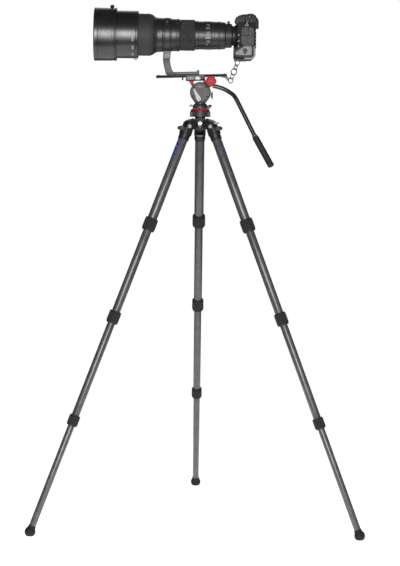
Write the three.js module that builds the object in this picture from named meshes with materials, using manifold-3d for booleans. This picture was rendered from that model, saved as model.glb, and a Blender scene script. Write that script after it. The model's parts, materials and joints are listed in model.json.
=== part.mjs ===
// A telephoto camera outfit on a carbon fibre tripod: three four-section legs on a spider, a levelling
// base, a fluid head with a pan handle, a long balance plate, a telephoto lens with its collar, foot and
// two-part hood, a camera body with an integral grip, and a two-link arm that steadies the camera.
// Millimetres, +Z up, the lens points along -X. The tripod's own axis is vertical.
import * as THREE from "three";
import { mergeVertices } from "three/addons/utils/BufferGeometryUtils.js";
import Module from "manifold-3d";

const wasm = await Module();
wasm.setup();

// ---------------------------------------------------------------- driving dimensions
const GAP = 0.3; // between pieces that touch
const AXIS_Z = 1630; // height of the lens axis

// Tripod
const SPREAD = THREE.MathUtils.degToRad(23.41); // leg angle from the vertical
const PIVOT_RADIUS = 45;
const PIVOT_Z = 1327;
const LEG_LENGTH = PIVOT_Z / Math.cos(SPREAD); // pivot to floor along the leg
const LEGS = { back: 90, left: 210, right: 330 }; // azimuth in degrees
const TUBE_RADII = [16, 14, 12.5, 11]; // upper section first
const BORE_RADII = [14.6, 12.95, 11.45, 9.5];
const TUBE_TOPS = [34.3, 320, 650, 1015]; // measured along the leg from its pivot
const TUBE_ENDS = [352, 685, 1048, 1420];
const LOCK_SPANS = [[337, 379], [668, 709], [1032, 1068]];
const LOCK_RADII = [22, 20, 18];
const LOCK_CLEARANCE = 0.6; // a lock turns on its tubes
const SOCKET_END = 51;
const SOCKET_RADIUS = 18.4;
const KNUCKLE_WIDTH = 39;
const FORK_WIDTH = 24;
const FORK_DEPTH = 27;
const EAR_RADIUS = 12.5;
const FOOT_RADIUS = 17.5;
const FOOT_CENTRE = LEG_LENGTH - 14.2;
const FOOT_TOP = 1412;
const SPIDER_TOP = 1350;
const SPIDER_DISC = { radius: 37, bottom: 1341 };
const TONGUE_WIDTH = FORK_WIDTH - 1;

// Fluid head
const LEVEL_TOP = 1384;
const TURRET_TOP = 1404;
const TILT_Z = 1438.7; // tilt axis, along Y
const CHEEK_RADIUS = 35;
const CHEEK_INNER = 22; // the two cheeks' distance from the middle plane
const CHEEK_OUTER = 40;
const DRUM_RADIUS = 20;
const COVER = { radius: 31.5, thickness: 4 };
const SADDLE_RADIUS = 30;
const LEVER = { x: -5, z: 1416.5, hub: 8, tip: 3.2, dx: -16, dz: 31, thickness: 6 };
const ROSETTE = { x: 34.5, z: 1475.5, radius: 17.5, boss: 13.5 };
const BOSS_FACE = -46; // Y of the rosette's face
const HANDLE_RADIUS = 7;
const GRIP_RADIUS = 10.8;

// Clamp, balance plate and lens foot
const DECK = { x: -30, z: 1493.8, tilt: -2 }; // the plate and clamp lean a little, lens end down
const CLAMP = { x0: -50, x1: 15, bottom: 1477.5, halfWidth: 25 };
const PLATE = { x0: -149, x1: 88, bottom: 1489.3, top: 1498.3, halfWidth: 19, neck: 16 };
const FOOT_BAR = { thickness: 9.5, stop: 5 };
const PEDESTAL_JOINT = 1550;

// Lens
const LENS_SIDES = 28;
const HOOD_FRONT = { x0: -357.5, x1: -282.5, radius: 89, wall: 4.5 };
const HOOD_REAR = { x0: -298, x1: -210, radius: 79.5, wall: 4 };
const COLLAR = { x0: -127, x1: -100, radius: 57.5, bore: 52.7 };
const FOCUS = { x0: -70, x1: -20, radius: 52, bore: 46.7 };
const MOUNT_X = 118; // lens flange against the camera

// Camera body
const BODY = { x0: 120, x1: 180.5, bottom: 1548.5, shoulder: 1672, halfWidth: 78 };
const GRIP_FRONT = 110;
const PRISM = { top: 1702, halfWidth: 33 };
const SHOE_TOP = 1704.3;
const CELL = { x0: 124.5, x1: 163.5, bottom: 1565, top: 1578, depth: 68, clearance: 0.5 };
const BUTTON = { x: 129.5, y: 60, radius: 6, travel: 2, proud: 2.5 };

// Support arm, pivots from the plate up to the camera
const ARM = { a: [100.8, 1479], b: [111, 1508.8], c: [122.5, 1540], thickness: 8 };

// ---------------------------------------------------------------- solids
// A closed geometry as a manifold solid, whichever way its faces were wound.
function solid(geometry) {
  const bare = (geometry.index ? geometry.toNonIndexed() : geometry.clone());
  bare.deleteAttribute("normal");
  bare.deleteAttribute("uv");
  const merged = mergeVertices(bare, 1e-4);
  const corners = merged.index.array;
  const triVerts = [];
  for (let i = 0; i < corners.length; i += 3) {
    const [a, b, c] = [corners[i], corners[i + 1], corners[i + 2]];
    if (a !== b && b !== c && c !== a) triVerts.push(a, b, c);
  }
  const build = (order) => new wasm.Manifold(new wasm.Mesh({
    numProp: 3,
    vertProperties: new Float32Array(merged.attributes.position.array),
    triVerts: new Uint32Array(order),
  }));
  const made = build(triVerts);
  return made.volume() > 0 ? made : build(triVerts.reverse());
}

// A manifold solid as a flat-shaded geometry.
function surface(shape) {
  const mesh = shape.getMesh();
  const geometry = new THREE.BufferGeometry();
  const points = new Float32Array(mesh.numVert * 3);
  for (let i = 0; i < mesh.numVert; i += 1) {
    points.set(mesh.vertProperties.subarray(i * mesh.numProp, i * mesh.numProp + 3), i * 3);
  }
  geometry.setAttribute("position", new THREE.BufferAttribute(points, 3));
  geometry.setIndex(Array.from(mesh.triVerts));
  const flat = geometry.toNonIndexed();
  flat.computeVertexNormals();
  return flat;
}

// [radius, height] points turned about +Z; an outline that leaves the axis free closes on itself.
function revolve(outline, sides) {
  const points = outline.map(([radius, height]) => new THREE.Vector2(radius, height));
  points.push(points[0].clone());
  const geometry = new THREE.LatheGeometry(points, sides);
  return solid(geometry.rotateX(Math.PI / 2));
}

function rod(radius, z0, z1, sides = 24) {
  const geometry = new THREE.CylinderGeometry(radius, radius, z1 - z0, sides);
  return solid(geometry.rotateX(Math.PI / 2).translate(0, 0, (z0 + z1) / 2));
}

function block(x0, x1, y0, y1, z0, z1) {
  const geometry = new THREE.BoxGeometry(x1 - x0, y1 - y0, z1 - z0);
  return solid(geometry.translate((x0 + x1) / 2, (y0 + y1) / 2, (z0 + z1) / 2));
}

// An outline drawn in X and Z, given thickness from y0 to y1.
function slab(shape, y0, y1, curveSegments = 6) {
  const geometry = new THREE.ExtrudeGeometry(shape, {
    depth: y1 - y0, bevelEnabled: false, curveSegments,
  });
  return solid(geometry.rotateX(Math.PI / 2).translate(0, y1, 0));
}

const polygon = (points) => new THREE.Shape(points.map(([x, z]) => new THREE.Vector2(x, z)));
const discShape = (x, z, radius) => new THREE.Shape().absarc(x, z, radius, 0, 2 * Math.PI);
const turned = (shape, x, y, z) => shape.rotate([x, y, z]);
const alongX = (shape) => turned(shape, 0, 90, 0); // +Z becomes +X
const towardFront = (shape) => turned(shape, 90, 0, 0); // +Z becomes -Y
const onDeck = (shape) => turned(shape.translate([-DECK.x, 0, -DECK.z]), 0, DECK.tilt, 0)
  .translate([DECK.x, 0, DECK.z]);
const union = (shapes) => shapes.reduce((sum, shape) => sum.add(shape));

// ---------------------------------------------------------------- materials
const finish = (color, roughness, metalness) =>
  new THREE.MeshStandardMaterial({ color, roughness, metalness });
const MATERIALS = {
  carbon: finish(0x4a4a4b, 0.42, 0.1),
  castBlack: finish(0x1c1c1e, 0.55, 0.5),
  rubber: finish(0x222223, 0.9, 0),
  greyMetal: finish(0x6b6b6c, 0.45, 0.7),
  silver: finish(0xd6d6d8, 0.28, 0.95),
  red: finish(0xc41f2e, 0.35, 0.6),
  lensBlack: finish(0x161617, 0.38, 0.3),
  hoodBlack: finish(0x121213, 0.3, 0.1),
  matteBlack: finish(0x2a2a2b, 0.8, 0),
  greyPlastic: finish(0x5a5a5c, 0.5, 0),
  glass: finish(0x10151c, 0.05, 0),
};

const outfit = new THREE.Group();

function place(name, shape, material, parent = outfit) {
  const mesh = new THREE.Mesh(surface(shape), MATERIALS[material]);
  mesh.name = name;
  parent.add(mesh);
}

// ---------------------------------------------------------------- legs
// A leg is drawn upright: its pivot at the origin, its axis down -Z, its outer side towards +X.
function legTop() {
  const outline = new THREE.Shape();
  outline.moveTo(SOCKET_RADIUS, -SOCKET_END);
  outline.lineTo(SOCKET_RADIUS, -24);
  outline.lineTo(EAR_RADIUS, -4);
  outline.absarc(0, 0, EAR_RADIUS, 0, Math.PI);
  outline.lineTo(-EAR_RADIUS, -4);
  outline.lineTo(-SOCKET_RADIUS, -24);
  outline.lineTo(-SOCKET_RADIUS, -SOCKET_END);
  const half = KNUCKLE_WIDTH / 2;
  const knuckle = slab(outline, -half, half).intersect(rod(half + 2, -36, 20, 20));
  const socket = rod(SOCKET_RADIUS, -SOCKET_END, -30, 20);
  const fork = block(-30, 30, -FORK_WIDTH / 2, FORK_WIDTH / 2, -FORK_DEPTH, 30);
  const bore = rod(TUBE_RADII[0] + GAP + 0.2, -SOCKET_END - 1, -TUBE_TOPS[0] + GAP, 16);
  return knuckle.add(socket).subtract(fork).subtract(bore);
}

function angleStop() {
  const outline = polygon([[12.5, -13], [24, -12], [30, -15], [30, -22], [24, -25], [14, -23]]);
  return slab(outline, -FORK_WIDTH / 2 + GAP, FORK_WIDTH / 2 - GAP);
}

function legTube(section) {
  const [outer, inner] = [TUBE_RADII[section], BORE_RADII[section]];
  const [top, end] = [-TUBE_TOPS[section], -TUBE_ENDS[section]];
  return revolve([[inner, end], [outer, end], [outer, top], [inner, top]], 16);
}

// A twist lock: a wide bore round the tube above it, a narrower one round the tube that slides.
function twistLock(section) {
  const [top, end] = LOCK_SPANS[section].map((t) => -t);
  const outer = LOCK_RADII[section];
  const wide = TUBE_RADII[section] + LOCK_CLEARANCE;
  const narrow = TUBE_RADII[section + 1] + LOCK_CLEARANCE;
  const step = -TUBE_ENDS[section] - 3;
  return revolve([
    [narrow, end], [outer - 2, end], [outer, end + 4], [outer, top], [wide, top], [wide, step], [narrow, step],
  ], 16);
}

// A rubber ball foot on the last tube, cut flat where it stands.
function legFoot(legMatrix) {
  const neck = 12.6;
  const outline = [[0, -FOOT_CENTRE - FOOT_RADIUS]];
  for (let angle = -60; angle <= 40; angle += 20) {
    const turn = THREE.MathUtils.degToRad(angle);
    outline.push([FOOT_RADIUS * Math.cos(turn), -FOOT_CENTRE + FOOT_RADIUS * Math.sin(turn)]);
  }
  outline.push([neck, -FOOT_TOP], [0, -FOOT_TOP]);
  const socket = rod(TUBE_RADII[3] + GAP, -TUBE_ENDS[3] - GAP, -FOOT_TOP + 1, 16);
  const belowFloor = new THREE.BoxGeometry(200, 200, 100).translate(0, 0, -50);
  belowFloor.applyMatrix4(new THREE.Matrix4().makeTranslation(
    PIVOT_RADIUS + LEG_LENGTH * Math.sin(SPREAD), 0, 0,
  ));
  belowFloor.applyMatrix4(legMatrix.clone().invert());
  return revolve(outline, 16).subtract(socket).subtract(solid(belowFloor));
}

function addLeg(side, azimuth) {
  const turntable = new THREE.Group();
  turntable.rotation.z = THREE.MathUtils.degToRad(azimuth);
  const leg = new THREE.Group();
  leg.position.set(PIVOT_RADIUS, 0, PIVOT_Z);
  leg.rotation.y = -SPREAD;
  leg.updateMatrix();
  turntable.add(leg);
  outfit.add(turntable);
  place(`leg_top_${side}`, legTop(), "castBlack", leg);
  place(`angle_stop_${side}`, angleStop(), "greyMetal", leg);
  TUBE_RADII.forEach((_, section) => {
    place(`tube_${section + 1}_${side}`, legTube(section), "carbon", leg);
  });
  LOCK_SPANS.forEach((_, section) => {
    place(`lock_${section + 1}_${side}`, twistLock(section), "rubber", leg);
  });
  place(`foot_${side}`, legFoot(leg.matrix), "rubber", leg);
}

// ---------------------------------------------------------------- spider and levelling base
function spider() {
  const hub = revolve([
    [0, 1314], [22, 1314], [27, 1322], [27, SPIDER_DISC.bottom], [SPIDER_DISC.radius, SPIDER_DISC.bottom],
    [SPIDER_DISC.radius, SPIDER_TOP - 4], [SPIDER_DISC.radius - 5, SPIDER_TOP], [0, SPIDER_TOP],
  ], 28);
  const arm = new THREE.Shape();
  arm.moveTo(15, PIVOT_Z - 10);
  arm.lineTo(PIVOT_RADIUS, PIVOT_Z - 10);
  arm.absarc(PIVOT_RADIUS, PIVOT_Z, 10, -Math.PI / 2, Math.PI / 3);
  arm.lineTo(SPIDER_DISC.radius, SPIDER_TOP - 5);
  arm.lineTo(15, SPIDER_TOP - 5);
  const tongue = slab(arm, -TONGUE_WIDTH / 2, TONGUE_WIDTH / 2);
  return union([hub, ...Object.values(LEGS).map((azimuth) => turned(tongue, 0, 0, azimuth))]);
}

function levelBase() {
  return revolve([
    [0, SPIDER_TOP + GAP], [17.5, SPIDER_TOP + GAP], [17.5, 1357], [33.5, 1357], [33.5, 1376],
    [31, 1377], [27.5, LEVEL_TOP], [0, LEVEL_TOP],
  ], 28);
}

// ---------------------------------------------------------------- fluid head
function panTurret() {
  return revolve([
    [0, LEVEL_TOP + GAP], [25, LEVEL_TOP + GAP], [25, 1396], [23, 1400], [18, 1400.5],
    [18, TURRET_TOP], [0, TURRET_TOP],
  ], 32);
}

// A knob or lever on the turret's side, drawn along +X.
function turretStem(radius, x0, x1, z) {
  return alongX(rod(radius, x0, x1, 12)).translate([0, 0, z]);
}

function panKnob() {
  return turretStem(3.5, 25 + GAP, 31, 1394).add(turretStem(4.6, 31, 37.5, 1394));
}

function panLever() {
  const stem = turretStem(2.6, -31, -25 - GAP, 1394);
  const blade = polygon([[-38.5, 1391], [-36.5, 1389.5], [-29.5, 1397.5], [-31.5, 1399.5]]);
  return stem.add(slab(blade, -3.5, 3.5));
}

// Two round cheeks on a fork, joined by the drum that holds the fluid.
function headHousing() {
  const cheek = new THREE.Shape();
  const side = THREE.MathUtils.degToRad(32);
  cheek.moveTo(-18, TURRET_TOP + GAP);
  cheek.lineTo(18, TURRET_TOP + GAP);
  cheek.absarc(0, TILT_Z, CHEEK_RADIUS, -side, Math.PI + side);
  const near = slab(cheek, -CHEEK_OUTER, -CHEEK_INNER, 24);
  const far = slab(cheek, CHEEK_INNER, CHEEK_OUTER, 24);
  const drum = slab(discShape(0, TILT_Z, DRUM_RADIUS), -CHEEK_INNER - 1, CHEEK_INNER + 1, 12);
  const foot = block(-17, 17, -CHEEK_OUTER, CHEEK_OUTER, TURRET_TOP + GAP, TURRET_TOP + 3);
  const farCover = slab(discShape(0, TILT_Z, COVER.radius), CHEEK_OUTER - 1, CHEEK_OUTER + COVER.thickness, 12);
  return union([near, far, drum, foot, farCover]);
}

// The round plate screwed over the near cheek.
function sideCover() {
  return slab(discShape(0, TILT_Z, COVER.radius), -CHEEK_OUTER - COVER.thickness, -CHEEK_OUTER - GAP, 12);
}

function tiltLever() {
  const front = -CHEEK_OUTER - COVER.thickness - GAP;
  const angle = Math.atan2(LEVER.dz, LEVER.dx);
  const outline = new THREE.Shape();
  outline.absarc(LEVER.x, LEVER.z, LEVER.hub, angle + Math.PI / 2, angle - Math.PI / 2 + 2 * Math.PI);
  outline.absarc(
    LEVER.x + LEVER.dx, LEVER.z + LEVER.dz, LEVER.tip, angle - Math.PI / 2, angle + Math.PI / 2,
  );
  return slab(outline, front - LEVER.thickness, front, 8);
}

// A knurled knob on the far cheek's rim.
function dragKnob() {
  const knob = revolve([
    [0, 0], [6, 0], [6, 2], [13, 2], [13, 6], [0, 6],
  ], 16);
  return alongX(knob).translate([CHEEK_RADIUS + GAP, 36, 1430]);
}

// The tilting cradle: a ring round the drum, two arms to the clamp, and the boss of the rosette.
function cradle() {
  const width = CHEEK_INNER - 0.5;
  const outline = discShape(0, TILT_Z, SADDLE_RADIUS);
  outline.holes.push(new THREE.Path().absarc(0, TILT_Z, DRUM_RADIUS + 0.6, 0, 2 * Math.PI, true));
  const ring = slab(outline, -width, width, 12);
  const top = CLAMP.bottom + 6;
  const leftArm = polygon([
    [-40, top], [-39, 1476], [-32.5, 1466], [-26, TILT_Z + 14], [-14, TILT_Z + 25], [-23.5, 1469], [-22, top],
  ]);
  const rightArm = polygon([
    [8, top], [10, TILT_Z + 25], [24, TILT_Z + 14], [48, ROSETTE.z - 9], [48, ROSETTE.z + 2], [40, top],
  ]);
  const arms = [leftArm, rightArm].map((shape) => slab(shape, -width, width));
  const boss = slab(discShape(ROSETTE.x, ROSETTE.z - 2, ROSETTE.boss), BOSS_FACE, -width + 1, 10);
  const underClamp = onDeck(block(-80, 80, -80, 80, CLAMP.bottom - GAP, CLAMP.bottom + 40));
  return union([ring, ...arms, boss]).subtract(underClamp);
}

function rosetteKnob() {
  const depth = 18;
  const lobes = new THREE.Shape();
  const steps = 48;
  for (let i = 0; i < steps; i += 1) {
    const turn = (2 * Math.PI * i) / steps;
    const radius = ROSETTE.radius - 1.4 + 1.4 * Math.cos(6 * turn);
    const point = [ROSETTE.x + radius * Math.cos(turn), ROSETTE.z + radius * Math.sin(turn)];
    if (i === 0) lobes.moveTo(...point);
    else lobes.lineTo(...point);
  }
  const front = BOSS_FACE - 15 - 2 * GAP;
  return slab(lobes, front - depth, front);
}

// Centre line of the pan handle, from the rosette outwards and down.
const HANDLE_ROUTE = [
  [42, -53.6, 1461], [75.5, -55, 1451.5], [101, -61, 1437.5], [114.8, -68, 1424.5],
  [131.5, -76, 1394], [182, -99, 1294.5],
].map((point) => new THREE.Vector3(...point));
const GRIP_END = new THREE.Vector3(237.5, -125, 1196);

function panHandle() {
  const sides = 12;
  const section = new THREE.Shape();
  for (let i = 0; i < sides; i += 1) {
    const turn = (2 * Math.PI * i) / sides;
    const point = [HANDLE_RADIUS * Math.cos(turn), HANDLE_RADIUS * Math.sin(turn)];
    if (i === 0) section.moveTo(...point);
    else section.lineTo(...point);
  }
  const bend = new THREE.CatmullRomCurve3(HANDLE_ROUTE, false, "centripetal");
  const tube = new THREE.ExtrudeGeometry(section, { steps: 22, extrudePath: bend, bevelEnabled: false });
  const eye = slab(discShape(ROSETTE.x, ROSETTE.z, ROSETTE.boss), BOSS_FACE - 15 - GAP, BOSS_FACE - GAP, 10);
  return solid(tube).add(eye);
}

function handleGrip() {
  const start = HANDLE_ROUTE.at(-1);
  const direction = GRIP_END.clone().sub(start).normalize();
  const length = start.distanceTo(GRIP_END);
  const collar = 0.9; // the tube ends a little askew to the grip
  const grip = revolve([
    [0, collar], [HANDLE_RADIUS + 1.5, collar], [GRIP_RADIUS, 6], [GRIP_RADIUS, length - 6],
    [GRIP_RADIUS - 3, length], [0, length],
  ], 16);
  const pose = new THREE.Matrix4().makeRotationFromQuaternion(
    new THREE.Quaternion().setFromUnitVectors(new THREE.Vector3(0, 0, 1), direction),
  ).setPosition(start);
  return grip.transform(pose.elements);
}

// ---------------------------------------------------------------- clamp and balance plate
// The dovetail that the clamp's jaws close on, drawn across the plate and run along X.
function dovetail(x0, x1, halfWidth, neck, bottom, top) {
  const waist = (bottom + top) / 2;
  const outline = polygon([
    [-halfWidth, bottom], [halfWidth, bottom], [halfWidth, bottom + 1.5], [neck, waist],
    [halfWidth, top - 1.5], [halfWidth, top], [-halfWidth, top], [-halfWidth, top - 1.5],
    [-neck, waist], [-halfWidth, bottom + 1.5],
  ]);
  return turned(slab(outline, -x1, -x0), 0, 0, 90);
}

function longPlate() {
  const { x0, x1, bottom, top, halfWidth, neck } = PLATE;
  const bar = dovetail(x0, x1, halfWidth, neck, bottom, top);
  const stopPin = rod(2.5, bottom - 9, bottom + 1, 10).translate([-58.5, 0, 0]);
  const [ax, az] = ARM.a;
  const end = bottom + 4;
  const ear = polygon([
    [76, end + 1], [76, end - 4], [ax - 7, az - 6], [ax, az - 9], [ax + 8, az - 4],
    [ax + 9, az + 2], [ax + 4, az + 8], [87, end + 1],
  ]);
  return union([onDeck(bar.add(stopPin)), slab(ear, -4.6, 4.6)]);
}

// The near side of the clamp is the jaw, which slides; the far side belongs to the body.
function clampBody() {
  const { x0, x1, bottom, halfWidth } = CLAMP;
  const base = block(x0, x1, -PLATE.neck + 1, halfWidth, bottom, PLATE.bottom - GAP);
  const wall = block(x0, x1, PLATE.neck - 1, halfWidth, bottom, PLATE.top - 2);
  const room = dovetail(x0 - 1, x1 + 1, PLATE.halfWidth + GAP + 0.1, PLATE.neck + GAP + 0.1,
    PLATE.bottom - GAP, PLATE.top + GAP);
  return onDeck(base.add(wall).subtract(room));
}

function clampJaw() {
  const { x0, x1, bottom, halfWidth } = CLAMP;
  const inner = -PLATE.neck + 1 - GAP;
  const jaw = block(x0, x1, -halfWidth, inner, bottom + 0.5, PLATE.top - 2);
  const room = dovetail(x0 - 1, x1 + 1, PLATE.halfWidth + GAP, PLATE.neck + GAP,
    PLATE.bottom - GAP, PLATE.top + GAP);
  return onDeck(jaw.subtract(room));
}

function clampKnob() {
  const knob = revolve([[0, 0], [4, 0], [4, 3], [10.4, 3], [10.4, 13], [9.4, 14], [0, 14]], 20);
  const flattened = towardFront(knob).scale([1, 1, 0.66]);
  return onDeck(flattened.translate([-10, -CLAMP.halfWidth - GAP, 1485]));
}

// ---------------------------------------------------------------- lens
// Outer radius along the axis, from the front ring to the bayonet.
const BARREL_OUTLINE = [
  [-236, 70.5], [-172, 70.5], [-163, 67.5], [-156, 62.5], [-150, 58.5], [-146, 57], [-127.5, 57],
  [-127.5, 52], [-99.5, 52], [-99.5, 54], [-70.5, 54], [-70.5, 46.2], [-19.5, 46.2], [-19.5, 48],
  [8, 48], [10, 46], [38, 46], [40, 46.5], [70, 46.5], [82, 44], [82, 40], [103, 40], [104, 33],
  [MOUNT_X, 31],
];

function lensBarrel() {
  const inside = [
    [MOUNT_X, 22], [102, 26], [78, 34], [-60, 40], [-120, 45], [-170, 58], [-222, 60], [-222, 65], [-236, 65],
  ];
  const outline = [...BARREL_OUTLINE, ...inside].map(([x, radius]) => [radius, x]);
  const barrel = alongX(revolve(outline, LENS_SIDES)).translate([0, 0, AXIS_Z]);
  const drawerKnob = rod(8, AXIS_Z + 36, AXIS_Z + 48, 14).translate([91.5, 0, 0]);
  return barrel.add(drawerKnob);
}

// A ring of the lens, with the outline as [radius, x] points.
function lensRing(outline) {
  return alongX(revolve(outline, LENS_SIDES)).translate([0, 0, AXIS_Z]);
}

function frontGlass() {
  return lensRing([
    [0, -226], [30, -225.2], [50, -223.8], [59, -222.5 - GAP], [64.2, -222.5 - GAP], [64.2, -232],
    [50, -235], [30, -237.5], [0, -239],
  ]);
}

function hoodFront() {
  const { x0, x1, radius, wall } = HOOD_FRONT;
  const sleeve = HOOD_REAR.radius + 0.8;
  return lensRing([
    [radius - 1, x0], [radius, x0 + 2], [radius, x0 + 14], [radius - 1.2, x0 + 15], [radius - 1.2, x1 - 4],
    [radius, x1 - 4], [radius, x1], [sleeve, x1], [sleeve, x1 - 4], [radius - wall, x1 - 10],
    [radius - wall, x0],
  ]);
}

function hoodRear() {
  const { x0, x1, radius, wall } = HOOD_REAR;
  const seat = 71.2; // slips over the front of the barrel
  return lensRing([
    [radius, x0], [radius, x1], [seat, x1], [seat, x1 - 12], [radius - wall, x1 - 16], [radius - wall, x0],
  ]);
}

function focusRing() {
  const { x0, x1, radius, bore } = FOCUS;
  return lensRing([[bore, x0], [radius, x0], [radius, x1 - 4], [radius - 1.5, x1], [bore, x1]]);
}

// The ring that carries the lens, with the pedestal under it.
function collarRing() {
  const { x0, x1, radius, bore } = COLLAR;
  const ring = lensRing([[bore, x0], [radius, x0], [radius, x1], [bore, x1]]);
  const pedestal = block(x0, x1 - 2, -19, 19, PEDESTAL_JOINT + GAP, AXIS_Z - bore + 6);
  const hollow = lensRing([[0, x0 - 1], [bore, x0 - 1], [bore, x1 + 1], [0, x1 + 1]]);
  return ring.add(pedestal.subtract(hollow));
}

function collarKnob() {
  const knob = revolve([[0, 0], [5, 0], [5, 3], [11, 3], [11, 12], [9.5, 14], [0, 14]], 18);
  const lean = 43; // degrees above the horizontal, on the near side
  const reach = COLLAR.radius + GAP;
  const seat = towardFront(knob).translate([-113.5, -reach, 0]);
  return turned(seat, -lean, 0, 0).translate([0, 0, AXIS_Z]);
}

function lensFoot() {
  const base = PLATE.top + GAP;
  const top = base + FOOT_BAR.thickness;
  const bar = polygon([
    [-113, base], [-4, base], [-4, top + FOOT_BAR.stop], [-11, top + FOOT_BAR.stop], [-12, top], [-87, top],
    [-96, top + 5], [-115, top + 5], [-117, base + 4],
  ]);
  const upright = polygon([
    [COLLAR.x0, PEDESTAL_JOINT], [-124.5, 1530], [-118, base + 3], [-97, base + 3], [-98, top + 6],
    [-102, 1530], [COLLAR.x1 - 4, PEDESTAL_JOINT],
  ]);
  return onDeck(slab(bar, -17, 17)).add(slab(upright, -17, 17));
}

// ---------------------------------------------------------------- camera
function cameraBody() {
  const { x0, x1, bottom, shoulder, halfWidth } = BODY;
  const waist = 1600; // the body is deeper below this, where the second grip is
  const lower = polygon([
    [GRIP_FRONT + 5, bottom], [x1 - 12, bottom], [x1, bottom + 12], [x1, waist + 3], [x0, waist + 3],
    [x0, waist - 5], [GRIP_FRONT, waist - 13], [GRIP_FRONT, bottom + 7],
  ]);
  const upper = polygon([
    [x0, waist], [x1, waist], [x1, shoulder - 4], [x1 - 4, shoulder], [x0 + 6, shoulder], [x0, shoulder - 8],
  ]);
  const grip = polygon([
    [GRIP_FRONT, bottom + 8], [x0 + 8, bottom + 8], [x0 + 8, shoulder], [GRIP_FRONT + 8, shoulder],
    [GRIP_FRONT, shoulder - 10],
  ]);
  const prism = polygon([
    [x0, shoulder - 8], [x0, shoulder - 1], [111.5, shoulder + 3], [113.5, 1688], [127.5, 1698],
    [145.5, PRISM.top], [x1 - 1, PRISM.top - 2], [x1, 1690], [x1, shoulder - 8],
  ]);
  const eyepiece = polygon([
    [x1 - 3, 1654], [x1 + 11.5, 1654], [x1 + 11.5, 1677], [x1 + 7.5, 1692], [x1 - 3, 1699],
  ]);
  const mount = alongX(rod(33, MOUNT_X + GAP, x0 + 2, 28)).translate([0, 0, AXIS_Z - 1]);
  const dial = rod(14, shoulder - 1, shoulder + 9, 18).translate([153.5, -54, 0]);
  const armPad = block(111.5, 150.5, -13, 13, bottom - 4.5, bottom + 1);
  const shoe = block(155.5, 175.5, -9.3, 9.3, PRISM.top - 4, SHOE_TOP);
  const { clearance, depth } = CELL;
  const chamber = block(CELL.x0 - clearance, CELL.x1 + clearance, -halfWidth - 1,
    -halfWidth + depth + 1, CELL.bottom - clearance, CELL.top + clearance);
  const buttonWell = rod(BUTTON.radius + 0.6, shoulder - 5, shoulder + 10, 16)
    .translate([BUTTON.x, BUTTON.y, 0]);
  return union([
    slab(lower, -halfWidth, halfWidth), slab(upper, -halfWidth, halfWidth), slab(grip, 38, halfWidth),
    slab(prism, -PRISM.halfWidth, PRISM.halfWidth), slab(eyepiece, -21, 21), mount, dial, armPad, shoe,
  ]).subtract(chamber).subtract(buttonWell);
}

// The battery with its own outer cover, which slides out of the camera's left end.
function batteryPack() {
  const side = -BODY.halfWidth;
  const cell = block(CELL.x0, CELL.x1, side - 1, side + CELL.depth, CELL.bottom, CELL.top);
  const cover = polygon([
    [118.5, 1562.5], [167.5, 1562.5], [168.5, 1564], [168.5, 1593], [167.5, 1594], [144, 1594],
    [113, 1572.5], [112.5, 1569],
  ]);
  return cell.add(slab(cover, side - 3.5, side - GAP));
}

function shutterButton() {
  const { shoulder } = BODY;
  return rod(BUTTON.radius, shoulder - 5 + GAP + BUTTON.travel, shoulder + BUTTON.proud, 16)
    .translate([BUTTON.x, BUTTON.y, 0]);
}

// ---------------------------------------------------------------- support arm
// A link between two pivots, round at both ends, with an open eye in its middle.
function armLink([x0, z0], [x1, z1], startRadius, endRadius, eyeRadius, front) {
  const slope = Math.atan2(z1 - z0, x1 - x0);
  const outline = new THREE.Shape();
  outline.absarc(x0, z0, startRadius, slope + Math.PI / 2, slope + 1.5 * Math.PI);
  outline.absarc(x1, z1, endRadius, slope - Math.PI / 2, slope + Math.PI / 2);
  const middle = [(x0 + x1) / 2, (z0 + z1) / 2];
  outline.holes.push(new THREE.Path().absarc(...middle, eyeRadius, 0, 2 * Math.PI, true));
  return slab(outline, front, front + ARM.thickness, 8);
}

const lowerLink = () => armLink(ARM.a, ARM.b, 8.5, 9.5, 4.6, -13.4);
const upperLink = () => armLink(ARM.b, ARM.c, 10.6, 7.9, 3.6, -13.4 - GAP - ARM.thickness);

// ---------------------------------------------------------------- assembly
for (const [side, azimuth] of Object.entries(LEGS)) addLeg(side, azimuth);

const PIECES = [
  ["spider", spider, "castBlack"],
  ["level_base", levelBase, "castBlack"],
  ["pan_turret", panTurret, "castBlack"],
  ["pan_knob", panKnob, "greyMetal"],
  ["pan_lever", panLever, "castBlack"],
  ["head_housing", headHousing, "castBlack"],
  ["side_cover", sideCover, "greyMetal"],
  ["tilt_lever", tiltLever, "silver"],
  ["drag_knob", dragKnob, "silver"],
  ["cradle", cradle, "red"],
  ["rosette_knob", rosetteKnob, "red"],
  ["pan_handle", panHandle, "castBlack"],
  ["handle_grip", handleGrip, "rubber"],
  ["clamp_body", clampBody, "castBlack"],
  ["clamp_jaw", clampJaw, "silver"],
  ["clamp_knob", clampKnob, "silver"],
  ["long_plate", longPlate, "castBlack"],
  ["lens_foot", lensFoot, "castBlack"],
  ["collar_ring", collarRing, "lensBlack"],
  ["collar_knob", collarKnob, "lensBlack"],
  ["lens_barrel", lensBarrel, "lensBlack"],
  ["focus_ring", focusRing, "matteBlack"],
  ["front_glass", frontGlass, "glass"],
  ["hood_rear", hoodRear, "hoodBlack"],
  ["hood_front", hoodFront, "hoodBlack"],
  ["camera_body", cameraBody, "matteBlack"],
  ["battery_pack", batteryPack, "greyPlastic"],
  ["shutter_button", shutterButton, "silver"],
  ["lower_link", lowerLink, "silver"],
  ["upper_link", upperLink, "silver"],
];
for (const [name, make, material] of PIECES) place(name, make(), material);

// The origin is under the middle of the three feet's bounding box, a quarter of their circle's radius
// behind the tripod's axis.
const FOOT_CIRCLE = PIVOT_RADIUS + FOOT_CENTRE * Math.sin(SPREAD);
outfit.position.y = -FOOT_CIRCLE / 4;

export default outfit;
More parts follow.
